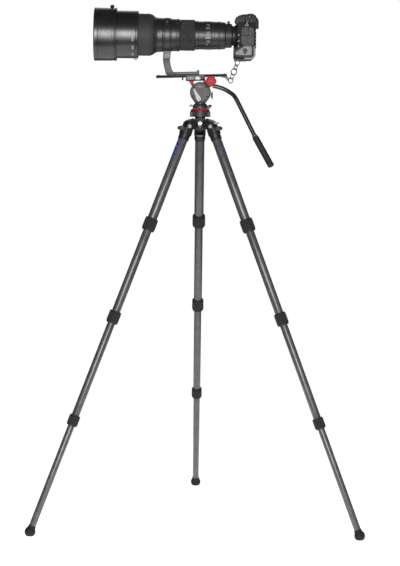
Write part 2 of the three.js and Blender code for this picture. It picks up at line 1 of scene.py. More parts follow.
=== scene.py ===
"""The looks of the telephoto outfit: fine pieces, materials, floor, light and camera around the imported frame.

Metres, +Z up, the lens points along -X. Pieces are placed from the frame's boxes and joints where one
fits them, and otherwise in millimetres from the tripod's axis on the floor."""

import json
import math

import bmesh
import bpy
from mathutils import Matrix, Vector


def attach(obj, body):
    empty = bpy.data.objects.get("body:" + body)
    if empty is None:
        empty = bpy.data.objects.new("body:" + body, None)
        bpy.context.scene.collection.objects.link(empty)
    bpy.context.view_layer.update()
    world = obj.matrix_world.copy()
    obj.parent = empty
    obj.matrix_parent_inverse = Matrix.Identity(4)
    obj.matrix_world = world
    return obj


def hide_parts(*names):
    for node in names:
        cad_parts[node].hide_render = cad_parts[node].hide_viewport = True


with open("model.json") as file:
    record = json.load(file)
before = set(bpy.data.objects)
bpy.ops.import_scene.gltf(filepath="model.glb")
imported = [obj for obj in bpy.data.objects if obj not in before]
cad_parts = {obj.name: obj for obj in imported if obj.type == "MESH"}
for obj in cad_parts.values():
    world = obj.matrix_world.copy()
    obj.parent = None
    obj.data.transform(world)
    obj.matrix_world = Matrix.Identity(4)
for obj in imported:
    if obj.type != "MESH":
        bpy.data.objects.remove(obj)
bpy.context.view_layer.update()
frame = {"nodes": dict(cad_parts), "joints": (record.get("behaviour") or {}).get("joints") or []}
NODES = frame["nodes"]
JOINTS = {joint["name"]: joint for joint in frame["joints"]}
MM = 0.001
TURN = 2 * math.pi
SIDES = ("back", "left", "right")

# ---------------------------------------------------------------- places taken from the frame
AXIS = Vector(JOINTS["pan"]["pos_m"])
TILT = Vector(JOINTS["tilt"]["pos_m"])
LENS = Vector(JOINTS["focus_turn"]["pos_m"])


def span(node, place=Matrix.Identity(4)):
    """Lowest and highest corner of a node in a frame of its own."""
    inverse = place.inverted()
    points = [inverse @ vertex.co for vertex in NODES[node].data.vertices]
    low = Vector([min(point[i] for point in points) for i in range(3)])
    high = Vector([max(point[i] for point in points) for i in range(3)])
    return low, high


def basis(origin, z_axis, x_hint):
    """A frame at origin whose Z runs along z_axis and whose X lies near x_hint."""
    z = Vector(z_axis).normalized()
    x = (Vector(x_hint) - z * Vector(x_hint).dot(z)).normalized()
    rotation = Matrix((x, z.cross(x), z)).transposed()
    return Matrix.Translation(origin) @ rotation.to_4x4()


def at(x=0.0, y=0.0, z=0.0):
    """A place given in millimetres from the tripod's axis on the floor."""
    return Vector((x * MM, AXIS.y + y * MM, z * MM))


# Most pieces are drawn in millimetres from the tripod's axis on the floor, in the row's directions.
HOME = Matrix.Translation(at())


def corners(node, place=HOME):
    """Lowest and highest corner of a node in millimetres from the tripod's axis, or in another frame."""
    low, high = span(node, place)
    return low / MM, high / MM


# ---------------------------------------------------------------- outlines, in millimetres
def arc(x, y, radius, start, end, steps=12):
    turns = [math.radians(start + (end - start) * k / steps) for k in range(steps + 1)]
    return [(x + radius * math.cos(t), y + radius * math.sin(t)) for t in turns]


def ring(radius, steps=64, x=0.0, y=0.0):
    return arc(x, y, radius, 0, 360, steps)[:-1]


def oblong(x0, x1, y0, y1):
    return [(x0, y0), (x1, y0), (x1, y1), (x0, y1)]


def toothed(radius, teeth, depth):
    """A round outline with trapezoid teeth, as on a knurled knob."""
    points = []
    for k in range(teeth):
        for share, level in ((0.0, 0), (0.2, 1), (0.5, 1), (0.7, 0)):
            turn = TURN * (k + share) / teeth
            reach = radius - depth * (1 - level)
            points.append((reach * math.cos(turn), reach * math.sin(turn)))
    return points


def lobed(radius, lobes, depth, steps=96, x=0.0, y=0.0):
    points = []
    for k in range(steps):
        turn = TURN * k / steps
        reach = radius - depth * (0.5 - 0.5 * math.cos(lobes * turn))
        points.append((x + reach * math.cos(turn), y + reach * math.sin(turn)))
    return points


def rounded(outline, radius, steps=3):
    """The closed outline with every corner off the axis eased into an arc."""
    eased = []
    for i, point in enumerate(outline):
        corner = Vector(point)
        before = Vector(outline[i - 1]) - corner
        after = Vector(outline[(i + 1) % len(outline)]) - corner
        reach = min(radius, 0.45 * before.length, 0.45 * after.length)
        if abs(point[0]) < 1e-6 or reach < 1e-4:
            eased.append(tuple(corner))
            continue
        start = corner + before.normalized() * reach
        end = corner + after.normalized() * reach
        for k in range(steps + 1):
            t = k / steps
            eased.append(tuple(start * (1 - t) ** 2 + corner * 2 * t * (1 - t) + end * t * t))
    return eased


# ---------------------------------------------------------------- meshes, in millimetres
def lathe(outline, sides=96, wave=None):
    """A closed (radius, height) outline turned about +Z, with a UV map in millimetres."""
    mesh = bmesh.new()
    layer = mesh.loops.layers.uv.new("around")
    rings = []
    for radius, height in outline:
        count = 1 if radius < 1e-6 else sides
        loop = []
        for k in range(count):
            turn = TURN * k / sides
            reach = wave(radius, height, turn) if wave and count > 1 else radius
            loop.append(mesh.verts.new((reach * math.cos(turn), reach * math.sin(turn), height)))
        rings.append(loop)
    girth = TURN * max(radius for radius, _ in outline)
    for i, low in enumerate(rings):
        high = rings[(i + 1) % len(rings)]
        if len(low) == 1 and len(high) == 1:
            continue
        for k in range(sides):
            n = (k + 1) % sides
            rim = [(low[k % len(low)], k), (low[n % len(low)], k + 1),
                   (high[n % len(high)], k + 1), (high[k % len(high)], k)]
            if len(low) == 1:
                rim.pop(1)
            if len(high) == 1:
                rim.pop(2)
            face = mesh.faces.new([vertex for vertex, _ in rim])
            for loop, (vertex, step) in zip(face.loops, rim):
                loop[layer].uv = (girth * step / sides, vertex.co.z)
    bmesh.ops.recalc_face_normals(mesh, faces=mesh.faces)
    return mesh


def prism(outline, low, high):
    """An outline in X and Y given thickness along Z."""
    mesh = bmesh.new()
    layer = mesh.loops.layers.uv.new("around")
    bottom = [mesh.verts.new((x, y, low)) for x, y in outline]
    top = [mesh.verts.new((x, y, high)) for x, y in outline]
    mesh.faces.new(bottom)
    mesh.faces.new(top)
    for i in range(len(outline)):
        n = (i + 1) % len(outline)
        mesh.faces.new((bottom[i], bottom[n], top[n], top[i]))
    bmesh.ops.recalc_face_normals(mesh, faces=mesh.faces)
    for face in mesh.faces:
        for loop in face.loops:
            loop[layer].uv = (loop.vert.co.x, loop.vert.co.y + loop.vert.co.z)
    return mesh


def bar(x0, x1, y0, y1, z0, z1):
    return prism(oblong(x0, x1, y0, y1), z0, z1)


def slab(outline, y0, y1, edge=0.0):
    """An outline drawn in X and Z, with thickness from y0 to y1 and its edges eased."""
    mesh = turned(prism(outline, -y1, -y0), 90, "X")
    return bevelled(mesh, edge) if edge else mesh


def along_x(mesh, y=0.0, z=0.0):
    """A mesh that stands on +Z laid along +X; its X becomes the row's Y, its Y the row's Z."""
    laid = Matrix(((0, 0, 1, 0), (1, 0, 0, y), (0, 1, 0, z), (0, 0, 0, 1)))
    return moved(mesh, laid)


def bevelled(mesh, width, segments=2, angle=28):
    limit = math.radians(angle)
    edges = [edge for edge in mesh.edges if edge.calc_face_angle(0.0) > limit]
    bmesh.ops.bevel(mesh, geom=edges, offset=width, segments=segments, profile=0.6,
                    affect="EDGES", clamp_overlap=True)
    return mesh


def moved(mesh, place=None, x=0.0, y=0.0, z=0.0):
    """The mesh moved in millimetres, or set in a frame of its own."""
    matrix = place.copy() if place else Matrix.Identity(4)
    matrix.translation = matrix.translation + Vector((x, y, z))
    bmesh.ops.transform(mesh, matrix=matrix, verts=mesh.verts)
    return mesh


def turned(mesh, degrees, axis):
    bmesh.ops.rotate(mesh, verts=mesh.verts, cent=(0, 0, 0),
                     matrix=Matrix.Rotation(math.radians(degrees), 3, axis))
    return mesh


def joined(meshes):
    """Several meshes as one, each staying a closed body."""
    whole = bmesh.new()
    for mesh in meshes:
        data = bpy.data.meshes.new("part")
        mesh.to_mesh(data)
        whole.from_mesh(data)
        mesh.free()
        bpy.data.meshes.remove(data)
    return whole


def scratch(mesh):
    data = bpy.data.meshes.new("scratch")
    mesh.to_mesh(data)
    mesh.free()
    thing = bpy.data.objects.new("scratch", data)
    bpy.context.scene.collection.objects.link(thing)
    return thing


def carved(mesh, tools, operation="DIFFERENCE"):
    """The mesh with the tools cut away, or joined on."""
    target = scratch(mesh)
    others = [scratch(tool) for tool in tools]
    for other in others:
        step = target.modifiers.new("cut", "BOOLEAN")
        step.operation = operation
        step.solver = "EXACT"
        step.object = other
    bpy.context.view_layer.update()
    graph = bpy.context.evaluated_depsgraph_get()
    result = bmesh.new()
    result.from_mesh(target.evaluated_get(graph).to_mesh())
    for thing in [target, *others]:
        data = thing.data
        bpy.data.objects.remove(thing)
        bpy.data.meshes.remove(data)
    bmesh.ops.dissolve_degenerate(result, dist=1e-4, edges=result.edges)
    return result


def smooth_route(points, per=8):
    """A Catmull-Rom curve through the points."""
    knots = [Vector(point) for point in points]
    knots = [2 * knots[0] - knots[1], *knots, 2 * knots[-1] - knots[-2]]
    route = []
    for a, b, c, d in zip(knots, knots[1:], knots[2:], knots[3:]):
        for k in range(per):
            t = k / per
            route.append(0.5 * (2 * b + (c - a) * t + (2 * a - 5 * b + 4 * c - d) * t ** 2
                                + (3 * b - a - 3 * c + d) * t ** 3))
    route.append(knots[-2])
    return route


def swept(route, radius, sides=32):
    """A closed round bar along a route; radius is a number or a function of the share travelled."""
    mesh = bmesh.new()
    layer = mesh.loops.layers.uv.new("around")
    loops, travelled = [], 0.0
    normal = Vector((0, 1, 0))
    for i, point in enumerate(route):
        ahead = route[min(i + 1, len(route) - 1)] - route[max(i - 1, 0)]
        tangent = ahead.normalized()
        normal = (normal - tangent * normal.dot(tangent)).normalized()
        side = tangent.cross(normal)
        travelled += (point - route[max(i - 1, 0)]).length
        reach = radius(i / (len(route) - 1)) if callable(radius) else radius
        loops.append(([mesh.verts.new(point + reach * (math.cos(TURN * k / sides) * normal
                      + math.sin(TURN * k / sides) * side)) for k in range(sides)], travelled))
    for (low, v0), (high, v1) in zip(loops, loops[1:]):
        for k in range(sides):
            n = (k + 1) % sides
            face = mesh.faces.new((low[k], low[n], high[n], high[k]))
            for loop, uv in zip(face.loops, ((k, v0), (k + 1, v0), (k + 1, v1), (k, v1))):
                loop[layer].uv = uv
    mesh.faces.new(loops[0][0])
    mesh.faces.new(loops[-1][0])
    bmesh.ops.recalc_face_normals(mesh, faces=mesh.faces)
    return mesh


def piece(name, mesh, material, body, *nodes, place=HOME, sharp=32):
    """Puts a mesh drawn in millimetres into the row frame, shades it and hangs it on its body."""
    limit = math.radians(sharp)
    bmesh.ops.scale(mesh, vec=(MM, MM, MM), verts=mesh.verts)
    bmesh.ops.transform(mesh, matrix=place, verts=mesh.verts)
    for face in mesh.faces:
        face.smooth = True
    for edge in mesh.edges:
        edge.smooth = edge.calc_face_angle(0.0) < limit
    data = bpy.data.meshes.new(name)
    mesh.to_mesh(data)
    mesh.free()
    thing = bpy.data.objects.new(name, data)
    bpy.context.scene.collection.objects.link(thing)
    finish, slot = material
    data.materials.append(finish)
    if nodes:
        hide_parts(*nodes)
    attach(thing, body)
    return thing


# ---------------------------------------------------------------- materials
def blank(name, color, roughness, metallic=0.0, **sockets):
    """A Principled material; sockets are named with underscores for spaces."""
    finish = bpy.data.materials.new(name)
    finish.use_nodes = True
    surface = finish.node_tree.nodes["Principled BSDF"]
    surface.inputs["Base Color"].default_value = (*color, 1)
    surface.inputs["Roughness"].default_value = roughness
    surface.inputs["Metallic"].default_value = metallic
    for socket, value in sockets.items():
        surface.inputs[socket.replace("_", " ")].default_value = value
    return finish


def add(finish, kind, inputs=(), **settings):
    """A node with its inputs set or linked by position, in (socket, value) pairs."""
    made = finish.node_tree.nodes.new(kind)
    for setting, value in settings.items():
        setattr(made, setting, value)
    for socket, value in inputs:
        if isinstance(value, bpy.types.NodeSocket):
            finish.node_tree.links.new(value, made.inputs[socket])
        else:
            made.inputs[socket].default_value = value
    return made


def feed(finish, socket, output):
    finish.node_tree.links.new(output, finish.node_tree.nodes["Principled BSDF"].inputs[socket])


def maths(finish, operation, a, b=0.0):
    return add(finish, "ShaderNodeMath", [(0, a), (1, b)], operation=operation).outputs[0]


def noise(finish, scale, detail=3.0, stretch=None):
    """Noise in the piece's own space, in features a metre; stretch squeezes its axes."""
    spot = add(finish, "ShaderNodeTexCoord").outputs["Object"]
    if stretch:
        spot = add(finish, "ShaderNodeMapping", [("Vector", spot), ("Scale", stretch)]).outputs[0]
    return add(finish, "ShaderNodeTexNoise",
               [("Vector", spot), ("Scale", scale), ("Detail", detail)]).outputs["Fac"]


def ramp(finish, factor, low, high, low_spot=0.3, high_spot=0.7):
    made = add(finish, "ShaderNodeValToRGB", [("Fac", factor)])
    for stop, spot, color in zip(made.color_ramp.elements, (low_spot, high_spot), (low, high)):
        stop.position = spot
        stop.color = (*color, 1)
    return made.outputs["Color"]


def spread(finish, factor, low, high):
    made = add(finish, "ShaderNodeMapRange", [("Value", factor), ("To Min", low), ("To Max", high)])
    return made.outputs["Result"]


def bump(finish, height, depth, strength=0.6):
    made = add(finish, "ShaderNodeBump",
               [("Height", height), ("Distance", depth), ("Strength", strength)])
    feed(finish, "Normal", made.outputs["Normal"])


def scaled(color, factor):
    return tuple(min(1.0, channel * factor) for channel in color)


def coated(name, color, roughness, metallic=0.0, contrast=0.25, patch=60, grain=1800,
           depth=0.00006, wear=0.0, **sockets):
    """Paint or plastic: soft patches of tone, uneven gloss, a fine grain, and edges rubbed lighter."""
    finish = blank(name, color, roughness, metallic, **sockets)
    tone = ramp(finish, noise(finish, patch), scaled(color, 1 - contrast), scaled(color, 1 + contrast))
    if wear:
        edge = add(finish, "ShaderNodeNewGeometry").outputs["Pointiness"]
        rubbed = spread(finish, maths(finish, "MULTIPLY", maths(finish, "SUBTRACT", edge, 0.51), 9), 0, 1)
        broken = maths(finish, "MULTIPLY", rubbed, noise(finish, 500, 5))
        mix = add(finish, "ShaderNodeMix", [(0, maths(finish, "MULTIPLY", broken, wear)), (6, tone),
                                            (7, (*scaled(color, 6), 1))], data_type="RGBA")
        tone = mix.outputs[2]
    feed(finish, "Base Color", tone)
    feed(finish, "Roughness", spread(finish, noise(finish, patch * 5), roughness * 0.82, roughness * 1.18))
    bump(finish, noise(finish, grain, 2), depth)
    return finish


def brushed(name, color, roughness, stretch, metallic=1.0):
    """Metal with fine lines along one axis."""
    finish = blank(name, color, roughness, metallic)
    lines = noise(finish, 900, 4, stretch)
    feed(finish, "Base Color", ramp(finish, lines, scaled(color, 0.8), scaled(color, 1.08)))
    feed(finish, "Roughness", spread(finish, lines, roughness * 0.7, roughness * 1.3))
    bump(finish, lines, 0.00002, 0.4)
    return finish


def stippled(name, color, roughness, cells, depth, contrast=0.2, **sockets):
    """Rubber or moulding with small raised cells."""
    finish = blank(name, color, roughness, **sockets)
    spot = add(finish, "ShaderNodeTexCoord").outputs["Object"]
    cell = add(finish, "ShaderNodeTexVoronoi", [("Vector", spot), ("Scale", cells)]).outputs["Distance"]
    feed(finish, "Base Color", ramp(finish, noise(finish, 90), scaled(color, 1 - contrast),
                                    scaled(color, 1 + contrast)))
    feed(finish, "Roughness", spread(finish, cell, roughness * 0.85, roughness * 1.1))
    bump(finish, cell, depth)
    return finish


def woven_carbon():
    """Two-by-two twill under clear lacquer, laid round the tube by its UV map."""
    tow = 2.2
    dark, light = (0.02, 0.02, 0.021), (0.135, 0.135, 0.138)
    finish = blank("carbon_twill", light, 0.4, 0.15, Coat_Weight=0.7, Coat_Roughness=0.24)
    around = add(finish, "ShaderNodeUVMap", uv_map="around").outputs["UV"]
    split = add(finish, "ShaderNodeSeparateXYZ", [(0, around)])
    across, along = (maths(finish, "DIVIDE", split.outputs[i], tow) for i in (0, 1))
    cells = maths(finish, "ADD", maths(finish, "FLOOR", across), maths(finish, "FLOOR", along))
    phase = maths(finish, "FRACT", maths(finish, "DIVIDE", cells, 4.0))
    warp = maths(finish, "LESS_THAN", phase, 0.5)
    crown = [maths(finish, "SINE", maths(finish, "MULTIPLY", maths(finish, "FRACT", way), math.pi))
             for way in (across, along)]
    height = add(finish, "ShaderNodeMix", [(0, warp), (2, crown[1]), (3, crown[0])]).outputs[0]
    tone = maths(finish, "ADD", maths(finish, "MULTIPLY", warp, 0.35), maths(finish, "MULTIPLY", height, 0.2))
    blotch = maths(finish, "MULTIPLY", noise(finish, 55, 5), 0.75)
    feed(finish, "Base Color", ramp(finish, maths(finish, "ADD", tone, blotch), dark, light, 0.25, 0.95))
    feed(finish, "Roughness", spread(finish, height, 0.5, 0.3))
    bump(finish, height, 0.00008, 0.35)
    return finish


def lens_glass():
    finish = blank("coated_glass", (0.03, 0.05, 0.075), 0.03, 0.0, IOR=1.7, Alpha=0.55)
    # Painted reflection: the coating's purple reflection is painted into the colour, stronger where the glass
    # is seen at a slant.
    painted_coating_reflection = add(finish, "ShaderNodeLayerWeight", [("Blend", 0.35)]).outputs["Facing"]
    feed(finish, "Base Color", ramp(finish, painted_coating_reflection, (0.02, 0.03, 0.06), (0.12, 0.05, 0.14), 0.1, 0.9))
    feed(finish, "Roughness", spread(finish, noise(finish, 40), 0.02, 0.05))
    return finish


def printed_marks(name, color):
    finish = blank(name, color, 0.45)
    feed(finish, "Base Color", ramp(finish, noise(finish, 900, 4), scaled(color, 0.75), color))
    feed(finish, "Roughness", spread(finish, noise(finish, 300), 0.38, 0.55))
    return finish


def banded_decal():
    """Blue film with a paler, generic diagonal band."""
    finish = blank("blue_film", (0.02, 0.05, 0.32), 0.25, Coat_Weight=0.4)
    around = add(finish, "ShaderNodeUVMap", uv_map="around").outputs["UV"]
    split = add(finish, "ShaderNodeSeparateXYZ", [(0, around)])
    slant = maths(finish, "ADD", split.outputs[0], split.outputs[1])
    band = maths(finish, "FRACT", maths(finish, "DIVIDE", slant, 19.0))
    worn = maths(finish, "ADD", band, maths(finish, "MULTIPLY", noise(finish, 700, 5), 0.3))
    feed(finish, "Base Color", ramp(finish, worn, (0.018, 0.045, 0.3), (0.07, 0.12, 0.42), 0.55, 0.95))
    feed(finish, "Roughness", spread(finish, noise(finish, 200), 0.2, 0.35))
    return finish


BLACK = (0.009, 0.009, 0.01)
TURRET = (coated("turret_grey", (0.06, 0.058, 0.056), 0.38, 0.3, contrast=0.15, grain=2200), "grey_metal")
GREY_DARK = (coated("dark_grey", (0.07, 0.07, 0.072), 0.4, 0.6, wear=0.3), "plate_black")
CAST_SATIN = (coated("foot_satin", (0.017, 0.017, 0.018), 0.38, 0.0, contrast=0.2, wear=0.4), "plate_black")
SATIN_RING = (coated("satin_ring", (0.12, 0.12, 0.122), 0.26, 0.6, contrast=0.1), "grey_metal")
SILVER_DARK = (coated("worn_silver", (0.06, 0.06, 0.061), 0.45, 0.2, contrast=0.3, grain=1200,
                      wear=0.3), "silver")
CARBON = (woven_carbon(), "carbon")
CAST = (coated("cast_black", (0.016, 0.016, 0.017), 0.4, 0.1, grain=1500, depth=0.0001,
               wear=0.35), "cast_black")
GREY = (coated("blasted_grey", (0.12, 0.12, 0.123), 0.42, 0.5, grain=2400, wear=0.3), "grey_metal")
RUBBER = (stippled("rubber_black", (0.018, 0.018, 0.019), 0.7, 1400, 0.00008), "rubber")
FOOT = (stippled("foot_rubber", (0.011, 0.011, 0.012), 0.8, 700, 0.00015), "foot_rubber")
COVER = (coated("cover_grey", (0.06, 0.06, 0.062), 0.46, 0.2, contrast=0.12, grain=2200,
                depth=0.00007), "cover_grey")
SILVER = (brushed("satin_silver", (0.24, 0.24, 0.244), 0.4, (1, 14, 1)), "silver")
PALE = (coated("pale_lever", (0.55, 0.55, 0.55), 0.4, 0.0, contrast=0.06, grain=1400), "silver")
BRIGHT = (coated("bright_steel", (0.36, 0.36, 0.366), 0.3, 0.7, contrast=0.12, grain=900), "silver")
RED = (coated("red_anodised", (0.42, 0.008, 0.018), 0.48, 0.2, contrast=0.16, patch=90, grain=2600,
              depth=0.00004, wear=0.08, Specular_IOR_Level=0.3), "red_anodised")
ACCENT = (coated("accent_red", (0.3, 0.006, 0.012), 0.4, 0.2, contrast=0.1), "accent_red")
HANDLE = (coated("handle_black", (0.01, 0.01, 0.011), 0.27, 0.0, contrast=0.2,
                 Specular_IOR_Level=1.0), "handle_black")
PLATE = (coated("plate_black", (0.035, 0.035, 0.037), 0.4, 0.45, wear=0.5), "plate_black")
LENS_PAINT = (coated("lens_black", (0.075, 0.075, 0.077), 0.36, 0.75, contrast=0.14, patch=35, grain=2600,
                     depth=0.00004, wear=0.12), "lens_black")
MATTE_PAINT = (coated("lens_matte", (0.04, 0.04, 0.041), 0.62, 0.0, contrast=0.12, grain=1500,
                      depth=0.00012), "lens_black")
RING_RUBBER = (stippled("ring_rubber", (0.033, 0.033, 0.034), 0.72, 1600, 0.0001), "ring_rubber")
GLASS = (lens_glass(), "glass")
HOOD = (coated("hood_satin", (0.1, 0.1, 0.102), 0.33, 0.9, contrast=0.12, patch=25, grain=2100,
               depth=0.00004), "hood_black")
FLOCK = (stippled("hood_flock", (0.008, 0.008, 0.008), 0.95, 2600, 0.00015), "hood_black")
CRINKLE = (stippled("camera_crinkle", (0.012, 0.012, 0.013), 0.6, 1500, 0.00009, 0.15,
                    Specular_IOR_Level=0.2), "camera_black")
GRIP = (stippled("camera_grip", (0.024, 0.024, 0.025), 0.78, 620, 0.00028), "camera_black")
SATIN = (coated("camera_satin", BLACK, 0.4, 0.0, contrast=0.15, Specular_IOR_Level=0.25), "camera_black")
COVER_PLASTIC = (coated("cover_plastic", (0.12, 0.12, 0.122), 0.36, 0.0, contrast=0.16, patch=30,
                        Coat_Weight=0.15), "cover_plastic")
PORT = (stippled("port_rubber", (0.085, 0.085, 0.088), 0.65, 1900, 0.00006,
                 Specular_IOR_Level=0.3), "port_rubber")
DECAL = (banded_decal(), "decal_blue")
WHITE = (printed_marks("printed_white", (0.42, 0.42, 0.42)), "mark_white")
SCREW = (coated("screw_black", (0.008, 0.008, 0.008), 0.5, 0.3, contrast=0.2, wear=0.4), "screw_black")
SCREEN = (coated("dark_screen", (0.006, 0.007, 0.009), 0.08, 0.0, contrast=0.1, grain=200,
                 depth=0.000005, Coat_Weight=0.5), "camera_black")


# ---------------------------------------------------------------- small hardware
def screw(radius, slotted=False, height=None):
    """A cap screw head standing on its base, with a hexagon socket or a slot."""
    tall = height or radius * 0.7
    head = lathe(rounded(oblong(0, radius, 0, tall), radius * 0.22), 32)
    if slotted:
        tool = bar(-radius * 1.2, radius * 1.2, -radius * 0.13, radius * 0.13, tall * 0.45, tall * 2)
    else:
        tool = prism(ring(radius * 0.5, 6), tall * 0.35, tall * 2)
    return carved(head, [tool])


def knurled(radius, length, teeth, depth=0.5, edge=0.6):
    """A knurled knob standing on its base, with turned-down ends."""
    waist = prism(toothed(radius, teeth, depth), edge, length - edge)
    inner = radius - depth
    core = lathe(rounded(oblong(0, inner, 0, length), edge * 1.5), 48)
    return joined([waist, core])


# ---------------------------------------------------------------- legs
LEG_REACH = 1432.1  # from the leg's pivot down to its foot
FOOT_LIFT = 0.4


def leg_place(side):
    """Origin on the leg's pivot, X to the leg's outer side, Z up the leg."""
    down = Vector(JOINTS[f"extend_2_{side}"]["axis"])
    outward = JOINTS[f"angle_stop_pull_{side}"]["axis"]
    return basis(JOINTS[f"spread_{side}"]["pos_m"], -down, outward)


def leg_casting(bottom, ear, socket, half):
    """Two ears either side of the fork, on a socket for the tube."""
    floor = -26
    outline = [*arc(0, 0, ear, 0, 180, 16), (-ear - 0.5, -6), (-17, -26), (-17, floor - 6),
               (17, floor - 6), (17, -26), (ear + 0.5, -6)]
    waist = oblong(0, half + 1.8, -60, 20)
    hollow = oblong(0, 14.2, -40, -17)
    ears = [carved(carved(slab(outline, y0, y1, 1.2), [lathe(waist, 64)], "INTERSECT"), [lathe(hollow, 64)])
            for y0, y1 in ((-half, -12.3), (12.3, half))]
    cup = [(0, floor - 1), (socket - 2, floor - 1), (socket - 2, bottom), (socket - 0.6, bottom),
           (socket, bottom + 1), (socket, bottom + 5), (socket - 0.6, bottom + 5.5),
           (socket - 0.6, bottom + 6.5), (socket, bottom + 7), (socket, floor - 6),
           (socket + 0.9, floor - 3), (socket + 0.9, floor - 1), (socket - 0.6, floor), (0, floor)]
    web = slab([(9, floor - 2), (16, floor - 2), (16, floor + 7), (11, floor + 7)], -12.6, 12.6, 0.8)
    return joined([*ears, web, lathe(rounded(cup, 0.5, 2), 96)])


def twist_grip(bottom, top, radius, upper_bore, lower_bore, step, ribs=30):
    """A ribbed rubber sleeve with a plain lip above and a taper below."""
    low, high = bottom + 6, top - 5

    def rib(reach, height, turn):
        dip = round(turn / TURN * 4 * ribs) % 4 < 2
        return reach - 1.1 if dip and low < height < high else reach

    outline = [(lower_bore, bottom), (radius - 2.6, bottom), (radius - 1, bottom + 3.6),
               (radius - 1, low - 0.6), (radius, low), (radius, low + 0.4), (radius, high - 0.4),
               (radius, high), (radius - 1.4, high + 0.6), (radius - 1.4, top - 3.2),
               (radius - 0.4, top - 2.4), (radius - 0.4, top - 0.6), (radius - 1, top),
               (upper_bore, top), (upper_bore, step), (lower_bore, step)]
    return lathe(outline, 4 * ribs, rib)


def ball_foot(place, low, high, radius, socket):
    """A ribbed rubber ball with a flat where it stands on the floor."""
    centre = low + radius
    ball = arc(0, centre, radius, -90, 44, 20)
    body = [*ball, (socket + 1.4, high - 3), (socket + 1.4, high), (0, high)]
    grooves = [lathe([(radius + 3, z - 0.5), (radius + 3, z + 0.5), (radius - 1.2, z + 0.4),
                      (radius - 1.2, z - 0.4)], 64) for z in (centre - 4.5, centre, centre + 4.5)]
    floor = bar(-3000, 3000, -3000, 3000, -200, 0)
    to_leg = place.copy()
    to_leg.translation = to_leg.translation / MM
    return carved(lathe(body, 64), [*grooves, moved(floor, to_leg.inverted())])


def sleeve_patch(radius, z0, z1, turn0, turn1, thickness=0.25):
    """A thin film laid round a tube."""
    outline = arc(0, 0, radius + thickness, turn0, turn1, 24)
    outline += reversed(arc(0, 0, radius - 0.2, turn0, turn1, 24))
    return prism(outline, z0, z1)


def film_decal(side, place, radius):
    """A blue film in a few generic blocks on the outer side of the upper tube."""
    blocks = {"left": [(-56, -52), (-65, -58), (-76, -67), (-87, -78), (-120, -89)],
              "right": [(-92, -84), (-107, -95)]}
    turns = {"left": (-75, 36), "right": (-32, 62)}
    if side in blocks:
        films = [sleeve_patch(radius, z0, z1, *turns[side]) for z0, z1 in blocks[side]]
        piece(f"film_{side}", joined(films), DECAL, f"leg_{side}", place=place)


def build_leg(side):
    place = leg_place(side)
    low, high = corners(f"leg_top_{side}", place)
    piece(f"casting_{side}", leg_casting(low.z, 12.5, high.x, high.y), CAST, f"leg_{side}",
          f"leg_top_{side}", place=place)
    lip = sleeve_patch(19.6, -31, -26.6, 135, 225, 0.6)
    piece(f"fork_ring_{side}", lip, BRIGHT, f"leg_{side}", place=place)
    bolts = [moved(turned(screw(6.2, height=2.6), turn, "X"), x=5, y=y, z=-4)
             for turn, y in ((90, low.y), (-90, high.y))]
    piece(f"pivot_bolt_{side}", joined(bolts), PALE, f"leg_{side}", place=place)
    radii = []
    for section in range(1, 5):
        node = f"tube_{section}_{side}"
        low, high = corners(node, place)
        outer = high.x
        radii.append((outer, low.z))
        bore = outer - 1.4
        tube = oblong(bore, outer, low.z, high.z)
        body = f"leg_{side}" if section == 1 else f"section_{section}_{side}"
        piece(f"carbon_{section}_{side}", lathe(rounded(tube, 0.4, 2), 96), CARBON, body, node,
              place=place)
    for section in range(1, 4):
        node = f"lock_{section}_{side}"
        low, high = corners(node, place)
        (upper, end), (lower, _) = radii[section - 1], radii[section]
        grip = twist_grip(low.z, high.z, high.x, upper + 0.3, lower + 0.3, end - 3)
        piece(f"twist_grip_{section}_{side}", grip, RUBBER, f"twist_{section}_{side}", node,
              place=place, sharp=40)
    low, high = corners(f"foot_{side}", place)
    foot = ball_foot(place, -LEG_REACH - high.x + FOOT_LIFT, high.z, high.x, 11)
    piece(f"ball_foot_{side}", foot, FOOT, f"section_4_{side}", f"foot_{side}", place=place)
    low, high = corners(f"angle_stop_{side}", place)
    tab = [(low.x, high.z - 1), (24, high.z), (high.x, high.z - 3), (high.x, low.z + 3), (24, low.z),
           (14, low.z + 2)]
    ribs = [slab(oblong(x, x + 1.2, high.z - 1.5, high.z + 0.6),
                 low.y + 2, high.y - 2, 0.3) for x in (20, 22.6, 25.2)]
    stop = joined([slab(rounded(tab, 2.2), low.y, high.y, 1), *ribs])
    piece(f"stop_tab_{side}", stop, GREY, f"stop_{side}", f"angle_stop_{side}", place=place)
    film_decal(side, place, radii[0][0])


for leg in SIDES:
    build_leg(leg)


# ---------------------------------------------------------------- spider and levelling base
def around_axis(mesh, azimuth):
    return turned(mesh, azimuth, "Z")


def spider_tongue(azimuth, pivot, bottom, top, half):
    """The eye that the leg hinges on, with a shoulder arching over the leg's ears."""
    outline = [(12, bottom), (pivot.x, bottom), *arc(pivot.x, pivot.y, 10, -90, 60, 10),
               (36, top), (12, top)]
    tongue = slab(outline, -half, half, 1.4)
    arch = [(28, top - 7), (33, top + 4), (40, top + 2.4), (48, top - 1.4), (55, top - 6.6),
            *arc(pivot.x, pivot.y, 13.4, 42, 112, 8)]
    shoulder = slab(rounded(arch, 1.5), -half - 6, half + 6, 1.6)
    return around_axis(joined([tongue, shoulder]), azimuth)


def accessory_socket(azimuth, z):
    """A diamond pad with a threaded silver bush, between two legs."""
    pad = rounded([(-20, z), (0, z - 9), (20, z), (0, z + 9)], 6, 4)
    plate = turned(prism([(x, y - z) for x, y in pad], 0, 6), 90, "Y")
    bush = lathe(rounded(oblong(2.2, 6.4, 0, 3.4), 0.6), 48)
    shift = 25.5
    pad_mesh = moved(plate, x=shift, z=z)
    bush_mesh = moved(turned(bush, 90, "Y"), x=shift + 4.6, z=z)
    return around_axis(pad_mesh, azimuth), around_axis(bush_mesh, azimuth)


